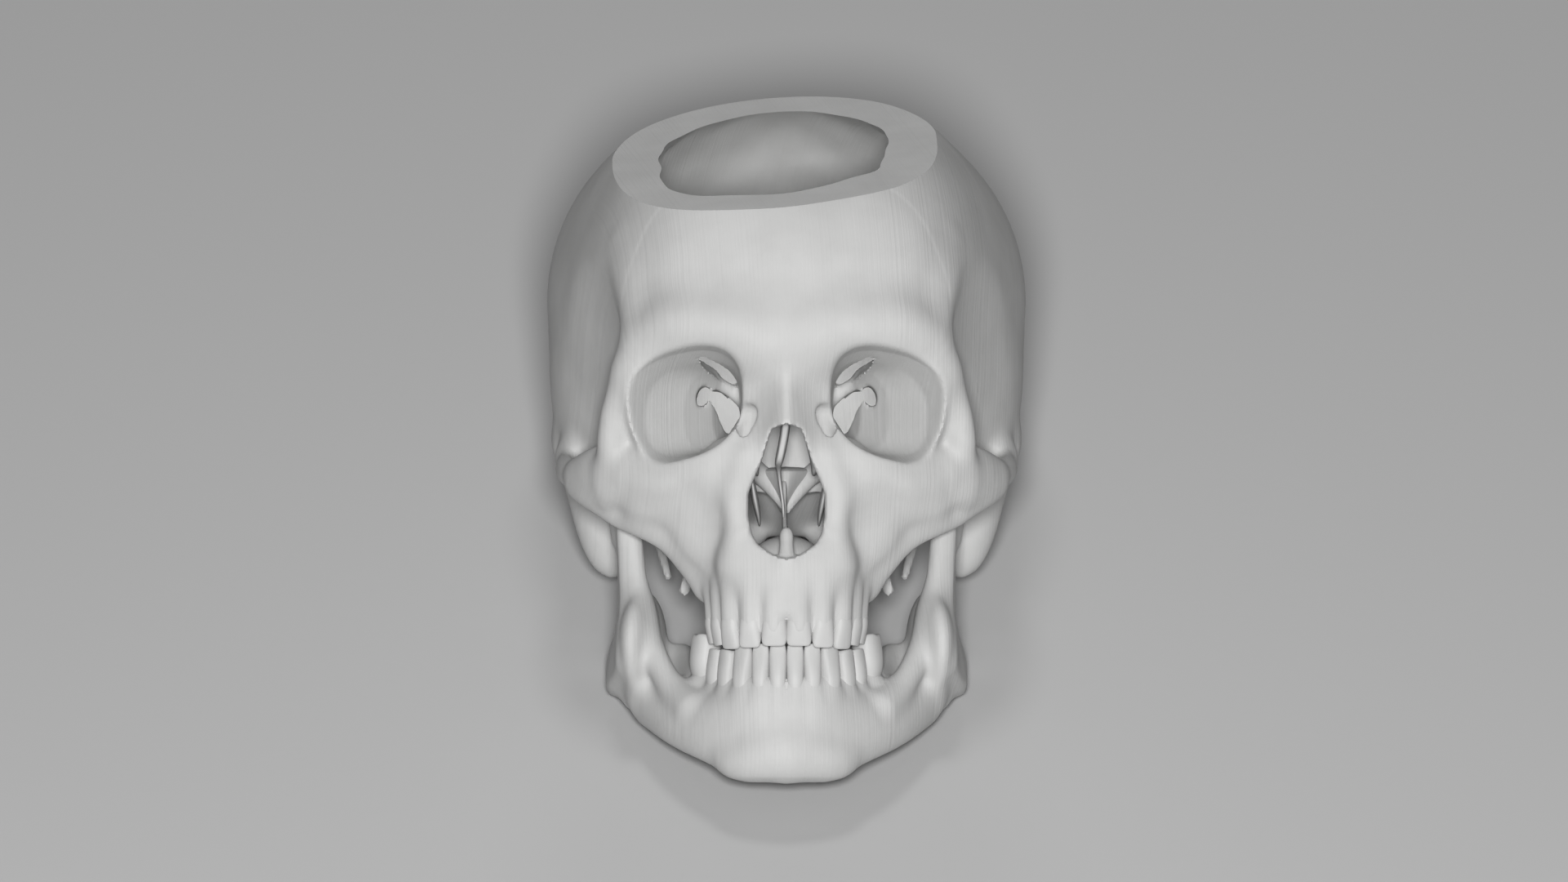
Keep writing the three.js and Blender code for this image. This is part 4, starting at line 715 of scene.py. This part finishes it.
# %% Ring stacks
def stack(name, rings):
    """A closed skin over rings of equally many points, rounded by a subdivision surface."""
    shape = bmesh.new()
    ring = [shape.verts.new(p) for p in rings[0]]
    edges = list(shape.faces.new(ring).edges)
    for places in rings[1:]:
        order = {v: i for i, v in enumerate(ring)}
        new = bmesh.ops.extrude_edge_only(shape, edges=edges)["geom"]
        edges = [g for g in new if isinstance(g, bmesh.types.BMEdge)]
        ring = [None] * len(places)
        for v in (g for g in new if isinstance(g, bmesh.types.BMVert)):
            i = next(order[e.other_vert(v)] for e in v.link_edges if e.other_vert(v) in order)
            ring[i], v.co = v, places[i]
    shape.faces.new(ring)
    bmesh.ops.recalc_face_normals(shape, faces=shape.faces)
    thing = made(name, shape)
    smooth = thing.modifiers.new("smooth", "SUBSURF")
    smooth.levels = smooth.render_levels = 2
    bpy.context.view_layer.update()
    thing.data = bpy.data.meshes.new_from_object(thing.evaluated_get(bpy.context.evaluated_depsgraph_get()))
    thing.modifiers.clear()
    return thing


def squared(n, wide, deep, power):
    """Points of a ring between a circle (power 2) and a square."""
    for i in range(n):
        c, q = math.cos(2 * math.pi * i / n), math.sin(2 * math.pi * i / n)
        bulge = (abs(c) ** power + abs(q) ** power) ** (1 / power)
        yield wide / 2 * c / bulge, deep / 2 * q / bulge


# %% [markdown]
# The septum's upper plate hangs from the bone between the eye sockets and is joined to it. The lower plate
# is the vomer: it stands on the floor of the nose and spreads into two wings under the roof. Both lean and
# bend a little to one side, as real ones do. A shell is a thick strip that hangs from the side wall.

# %% Septum and shells
def bent_plate(name, rows):
    """rows: height, front, back, place to the side, thickness."""
    rings = [[(side + x, (front + back) / 2 + y, height) for x, y in squared(24, thick, back - front, 6)]
             for height, front, back, side, thick in rows]
    return stack(name, rings)


def join_to(node, extra):
    bones[node].data = boolean(bones[node], extra, "UNION")
    drop(extra)


UPRIGHT = [(22, -74, -52, 0, 2.4), (16, -78, -51, .1, 2.6), (10, -82, -50, -.3, 2.8),
           (4, -82, -49, -1.4, 2.8), (1, -81.5, -50, -2.1, 2.7), (-.6, -79, -52, -2.4, 2.1),
           (-2, -70, -53, -2.4, 1.2), (-7, -67, -54, -1.8, 1), (-12, -67, -58, -1, .9),
           (-17, -67, -61, -.8, .8)]
join_to("ethmoid_bone", bent_plate("upright", UPRIGHT))

# Rows of a middle shell: height, shift to the side, place from the middle, thickness.
MIDDLE_SHELL = ((10, 0, 6.8, 4), (6, 0, 7, 2.6), (2, -.2, 8, 2), (-1.5, -.3, 8.8, 2.2), (-4, -.3, 8.4, 1.4))
for side, share in ((1, 1), (-1, .8)):
    rings = [[(mid + side * x + u, -63 + v - .3 * z + 1.2 * math.sin(z * 1.3 + side), z)
              for u, v in squared(16, wide * share, 20 + .5 * z, 4)] for z, mid, x, wide in MIDDLE_SHELL]
    join_to("ethmoid_bone", stack("shell", rings))

VOMER = [(-24, -76, -45, 0, 3), (-21.5, -75, -43, -.2, 2.2), (-18, -69, -41.5, -.6, 1.5),
         (-14, -60, -40, -.6, 1.4), (-9, -55, -39.5, -.6, 1.6), (-4, -53, -40, -.8, 1.8)]
bones["vomer"] = bent_plate("vomer", VOMER)
# Rows of its wings: height, shift to the side, width, depth.
WINGS = ((-15.5, -.6, 2, 14), (-13, -.6, 4.4, 18), (-8, -.4, 11, 25), (-3.5, 0, 17, 28), (-1, 0, 17, 28))
rings = [[(mid + x, -40 + y, z) for x, y in squared(16, wide, deep, 1.2)] for z, mid, wide, deep in WINGS]
join_to("vomer", stack("wings", rings))

# Rows of a lower shell: height, place from the middle, thickness, length. The left one hugs its wall.
LOWER_SHELL = [(-2, 10.8, 1.3, 24), (-6, 10.1, 1.6, 27), (-10, 9.5, 2.2, 28), (-13.5, 8.8, 2.1, 26),
               (-16.5, 8.2, 1.3, 20), (-19, 8, .7, 10)]
for (word, side), out in zip(SIDES, (1.6, 0)):
    rings = [[(side * (x + out + u), -66 + v - .25 * (z + 10), z) for u, v in squared(20, thick, long, 3)]
             for z, x, thick, long in LOWER_SHELL]
    bones["inferior_concha_" + word] = stack("concha_" + word, rings)
for node in ("ethmoid_bone", "vomer", "inferior_concha_left", "inferior_concha_right"):
    print(node, len(bones[node].data.polygons), "faces")

# %% [markdown]
# Each tooth's own row says where it stands, how it is turned, how large it is and where its root, neck and
# edge lie. The lower front teeth rise behind the upper ones, and the lower molar stands tall because
# nothing bites on it. Grinding teeth get cusps.

# %% Teeth
def tooth(name, place, turn, wide, deep, rises, edge, tip, cusps, side):
    """edge: share of the depth left at the biting edge; tip: how far the edge lies forward."""
    root, neck, bite = rises
    crown = bite - neck
    spin, up = Matrix.Rotation(math.radians(turn), 3, "Z"), math.copysign(1, crown)
    # Each level: height, share of the width, share of the depth, how far it is pushed forward.
    levels = [(root, .34, .4, 3.0), ((root + neck) / 2, .6, .74, 1.4), (neck, .95, .96, 0),
              (neck + crown * .3, 1.0, 1.0, tip * .2), (neck + crown * .65, 1.02, .5 + .5 * edge, tip * .6),
              (neck + crown * .86, .99, .15 + .85 * edge, tip * .9), (neck + crown * .99, .84, edge, tip),
              (bite, .45, edge * .5, tip)]
    rings = []
    for n, (rise, w, d, push) in enumerate(levels):
        ring = []
        for x, y in squared(20, wide * w, deep * d, 2.6):
            high = rise - up * (.7 if cusps and n == 7 else 0)
            if cusps and n == 6:
                high += up * (.8 * abs(math.sin(cusps / 2 * math.atan2(y, x))) - .5)
            p = spin @ Vector((x, y + push, high))
            ring.append((side * (p.x + place[0]), p.y + place[1], p.z))
        rings.append(ring)
    return stack(name, rings)


# Each row: name, place, turn, width, depth, heights of root, neck and bite, edge, tip, cusps.
UPPER = [
    ("upper_central_incisor", (3.6, -91.7), 3, 7.5, 6.8, (-34, -45.5, -54.2), .24, -1.8, 0),
    ("upper_lateral_incisor", (10.5, -89.7), 18, 6.7, 6.4, (-34, -45.5, -54.7), .24, -1.4, 0),
    ("upper_canine", (15.8, -85.2), 42, 6.6, 7.2, (-33, -45.5, -55.2), .36, -.9, 0),
    ("upper_first_premolar", (18.8, -78.8), 68, 6.8, 7.6, (-34, -45.5, -54.4), .66, 0, 2),
    ("upper_second_premolar", (20.6, -72), 80, 6.8, 7.6, (-34, -45.5, -54), .66, 0, 2),
]
LOWER = [
    ("lower_central_incisor", (2.55, -87.6), 4, 5.1, 5.6, (-78, -67.5, -53.4), .25, 0, 0),
    ("lower_lateral_incisor", (7.6, -86.4), 16, 5.2, 5.8, (-78, -67.5, -53.5), .25, 0, 0),
    ("lower_canine", (12.7, -83), 38, 6.2, 7.0, (-79, -67.5, -53.8), .38, 0, 0),
    ("lower_first_premolar", (17.0, -77.4), 60, 6.6, 7.2, (-77, -67, -55), .66, 0, 2),
    ("lower_second_premolar", (20.2, -71), 66, 6.7, 7.6, (-76, -66, -54.8), .66, 0, 2),
    ("lower_first_molar", (24.0, -63.2), 66, 9.9, 9.4, (-73, -62, -50.5), .76, 0, 4),
]
teeth = {}
for name, *plan in UPPER + LOWER:
    for word, side in SIDES:
        teeth[name + "_" + word] = tooth("tooth_" + name + "_" + word, *plan, side)
print("teeth:", len(teeth), "of", len(next(iter(teeth.values())).data.polygons), "faces each")

# %% [markdown]
# ## Finishes
#
# The skull is a plain grey cast. Its surface keeps faint steps from the layers that it was built in,
# one beside the other from ear to ear, so they show as fine upright lines, most of all on the temples.
# One node group makes the layers and a soft mottling for both finishes.

# %% Layered cast finish
def cast_group():
    group = bpy.data.node_groups.new("cast_layers", "ShaderNodeTree")
    for name, value in (("Layer Spacing", .0009), ("Mottle Size", 60.0)):
        socket = group.interface.new_socket(name, in_out="INPUT", socket_type="NodeSocketFloat")
        socket.default_value = value
    for name in ("Height", "Mottle"):
        group.interface.new_socket(name, in_out="OUTPUT", socket_type="NodeSocketFloat")
    nodes, links = group.nodes, group.links
    given, result = nodes.new("NodeGroupInput"), nodes.new("NodeGroupOutput")
    where, upright_map = nodes.new("ShaderNodeTexCoord"), nodes.new("ShaderNodeMapping")
    upright_map.inputs["Rotation"].default_value = (LEAN, 0, 0)
    links.new(where.outputs["Object"], upright_map.inputs["Vector"])
    split, wobble = nodes.new("ShaderNodeSeparateXYZ"), nodes.new("ShaderNodeTexNoise")
    wobble.inputs["Scale"].default_value, wobble.inputs["Detail"].default_value = 45, 3
    links.new(upright_map.outputs["Vector"], split.inputs["Vector"])
    links.new(upright_map.outputs["Vector"], wobble.inputs["Vector"])

    def calc(kind, a, b):
        node = nodes.new("ShaderNodeMath")
        node.operation = kind
        for socket, value in zip(node.inputs, (a, b)):
            if isinstance(value, float):
                socket.default_value = value
            else:
                links.new(value, socket)
        return node.outputs[0]

    slant = calc("ADD", split.outputs["X"], calc("MULTIPLY", split.outputs["Y"], .2))
    shaken = calc("ADD", slant, calc("MULTIPLY", wobble.outputs["Fac"], .0008))
    streaks = nodes.new("ShaderNodeTexNoise")
    streaks.noise_dimensions = "1D"
    streaks.inputs["Scale"].default_value, streaks.inputs["Detail"].default_value = 1, 2
    links.new(calc("DIVIDE", shaken, given.outputs["Layer Spacing"]), streaks.inputs["W"])
    mottle = nodes.new("ShaderNodeTexNoise")
    mottle.inputs["Detail"].default_value = 5
    links.new(where.outputs["Object"], mottle.inputs["Vector"])
    links.new(given.outputs["Mottle Size"], mottle.inputs["Scale"])
    links.new(streaks.outputs["Fac"], result.inputs["Height"])
    links.new(mottle.outputs["Fac"], result.inputs["Mottle"])
    return group


def cast(name, low, high, rough, layer_depth, grain_depth, group):
    """low and high: the darkest and palest mottle; the depths are in metres."""
    material = bpy.data.materials.new(name)
    material.use_nodes = True
    nodes, links = material.node_tree.nodes, material.node_tree.links
    shader = nodes["Principled BSDF"]
    layers = nodes.new("ShaderNodeGroup")
    layers.node_tree = group
    ramp = nodes.new("ShaderNodeValToRGB")
    ramp.color_ramp.elements[0].position, ramp.color_ramp.elements[1].position = .3, .7
    ramp.color_ramp.elements[0].color, ramp.color_ramp.elements[1].color = (*low, 1), (*high, 1)
    links.new(layers.outputs["Mottle"], ramp.inputs["Fac"])
    links.new(ramp.outputs["Color"], shader.inputs["Base Color"])
    grain = nodes.new("ShaderNodeTexNoise")
    grain.inputs["Scale"].default_value, grain.inputs["Detail"].default_value = 320, 4
    where = nodes.new("ShaderNodeTexCoord")
    links.new(where.outputs["Object"], grain.inputs["Vector"])
    first, second = nodes.new("ShaderNodeBump"), nodes.new("ShaderNodeBump")
    heights = ((first, layers.outputs["Height"], layer_depth), (second, grain.outputs["Fac"], grain_depth))
    for bump, source, depth in heights:
        bump.inputs["Distance"].default_value = depth
        bump.inputs["Strength"].default_value = 1.0
        links.new(source, bump.inputs["Height"])
    links.new(first.outputs["Normal"], second.inputs["Normal"])
    links.new(second.outputs["Normal"], shader.inputs["Normal"])
    shader.inputs["Roughness"].default_value = rough
    shader.inputs["Specular IOR Level"].default_value = .3
    return material


layers_group = cast_group()
BONE = cast("bone_cast", (.5, .5, .495), (.56, .56, .555), .62, .0001, .00003, layers_group)
ENAMEL = cast("enamel_cast", (.52, .52, .515), (.57, .57, .565), .5, .00004, .00002, layers_group)
print("finishes:", BONE.name, ENAMEL.name, "from", len(layers_group.nodes), "nodes in their group")

# %% [markdown]
# ## Putting every piece in place
#
# Each mesh is moved by the one matrix, shaded smooth with crisp cut edges, given its finish, set to
# ride with its part of the frame, and named as the stand-in for its solid.

# %% Finish and seat the pieces
CREASE = math.radians(26)       # edges that turn more than this stay crisp
for pieces, material, slot in ((bones, BONE, "bone"), (teeth, ENAMEL, "enamel")):
    for node, piece in pieces.items():
        piece.name = "fine_" + node
        piece.data.transform(PLACE)
        piece.data.materials.clear()
        piece.data.materials.append(material)
        piece.data.polygons.foreach_set("use_smooth", [True] * len(piece.data.polygons))
        piece.data.set_sharp_from_angle(angle=CREASE)
        piece.data.update()
        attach(piece, "mandible" if node == "mandible" or node.startswith("lower_") else "cranium")
        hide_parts(node)
print("pieces:", len(bones) + len(teeth))

# %% [markdown]
# ## Floor, light and camera
#
# The skull lies on a pale floor. One soft light in line with the camera gives the even, frontal shading
# of the photograph, where the sides fall off to grey, and a weak world light keeps the hollows open. Two
# weak lights lift the cut crown and the back of the head, and a tiny lamp shows the room for the brain.
# The camera looks straight at the face, as the shaping frame does, through a long lens.

# %% Stage
def stage_floor():
    shape = bmesh.new()
    bmesh.ops.create_grid(shape, x_segments=1, y_segments=1, size=6)
    floor = made("floor", shape)
    floor.data.transform(Matrix.Translation((0, 0, -.0004)))
    paint = bpy.data.materials.new("floor_paint")
    paint.use_nodes = True
    paint.node_tree.nodes["Principled BSDF"].inputs["Base Color"].default_value = (.55, .55, .55, 1)
    paint.node_tree.nodes["Principled BSDF"].inputs["Roughness"].default_value = .9
    floor.data.materials.append(paint)


stage_floor()
world = bpy.data.worlds.new("soft_world")
world.use_nodes = True
world.node_tree.nodes["Background"].inputs[0].default_value = (1, 1, 1, 1)
world.node_tree.nodes["Background"].inputs[1].default_value = .06
bpy.context.scene.world = world

toward = turn_back.to_3x3() @ Vector((0, -1, 0))
middle = PLACE @ Vector((-.735, 0, 6.6))


def softbox(name, where, size, watts, target=middle):
    lamp = bpy.data.lights.new(name, "AREA")
    lamp.shape, lamp.size, lamp.energy = "DISK", size, watts
    thing = bpy.data.objects.new(name, lamp)
    crowd.objects.link(thing)
    thing.location = where
    thing.rotation_euler = (target - where).to_track_quat("-Z", "Y").to_euler()
    thing.visible_camera = False
    return thing


softbox("front_light", middle + toward * 2.4 + Vector((0, 0, .03)), .3, 53)
softbox("top_light", middle + Vector((0, .1, 1.2)), .3, 2)
softbox("rear_light", middle + Vector((0, 2.4, .5)), .6, 9)
lamp = softbox("inner_light", PLACE @ Vector((0, -6, 34)), .03, .013, PLACE @ Vector((0, 80, 18)))
lamp.data.spread = math.radians(80)

PIXEL = .245e-3                 # what one pixel of a picture 1920 wide takes in, in metres
LENS, SENSOR = 600, 36          # millimetres
camera = bpy.data.objects.new("camera", bpy.data.cameras.new("camera"))
crowd.objects.link(camera)
camera.data.lens, camera.data.sensor_width, camera.data.clip_end = LENS, SENSOR, 50
distance = 1920 * PIXEL / SENSOR * LENS
camera.matrix_world = (Matrix.Translation(middle + toward * distance) @ turn_back
                       @ Matrix.Rotation(math.pi / 2, 4, "X"))
bpy.context.scene.camera = camera
bpy.context.scene.view_settings.view_transform = "Standard"
print("camera stands", round(distance, 2), "m away")

# %% The end
bpy.context.view_layer.update()
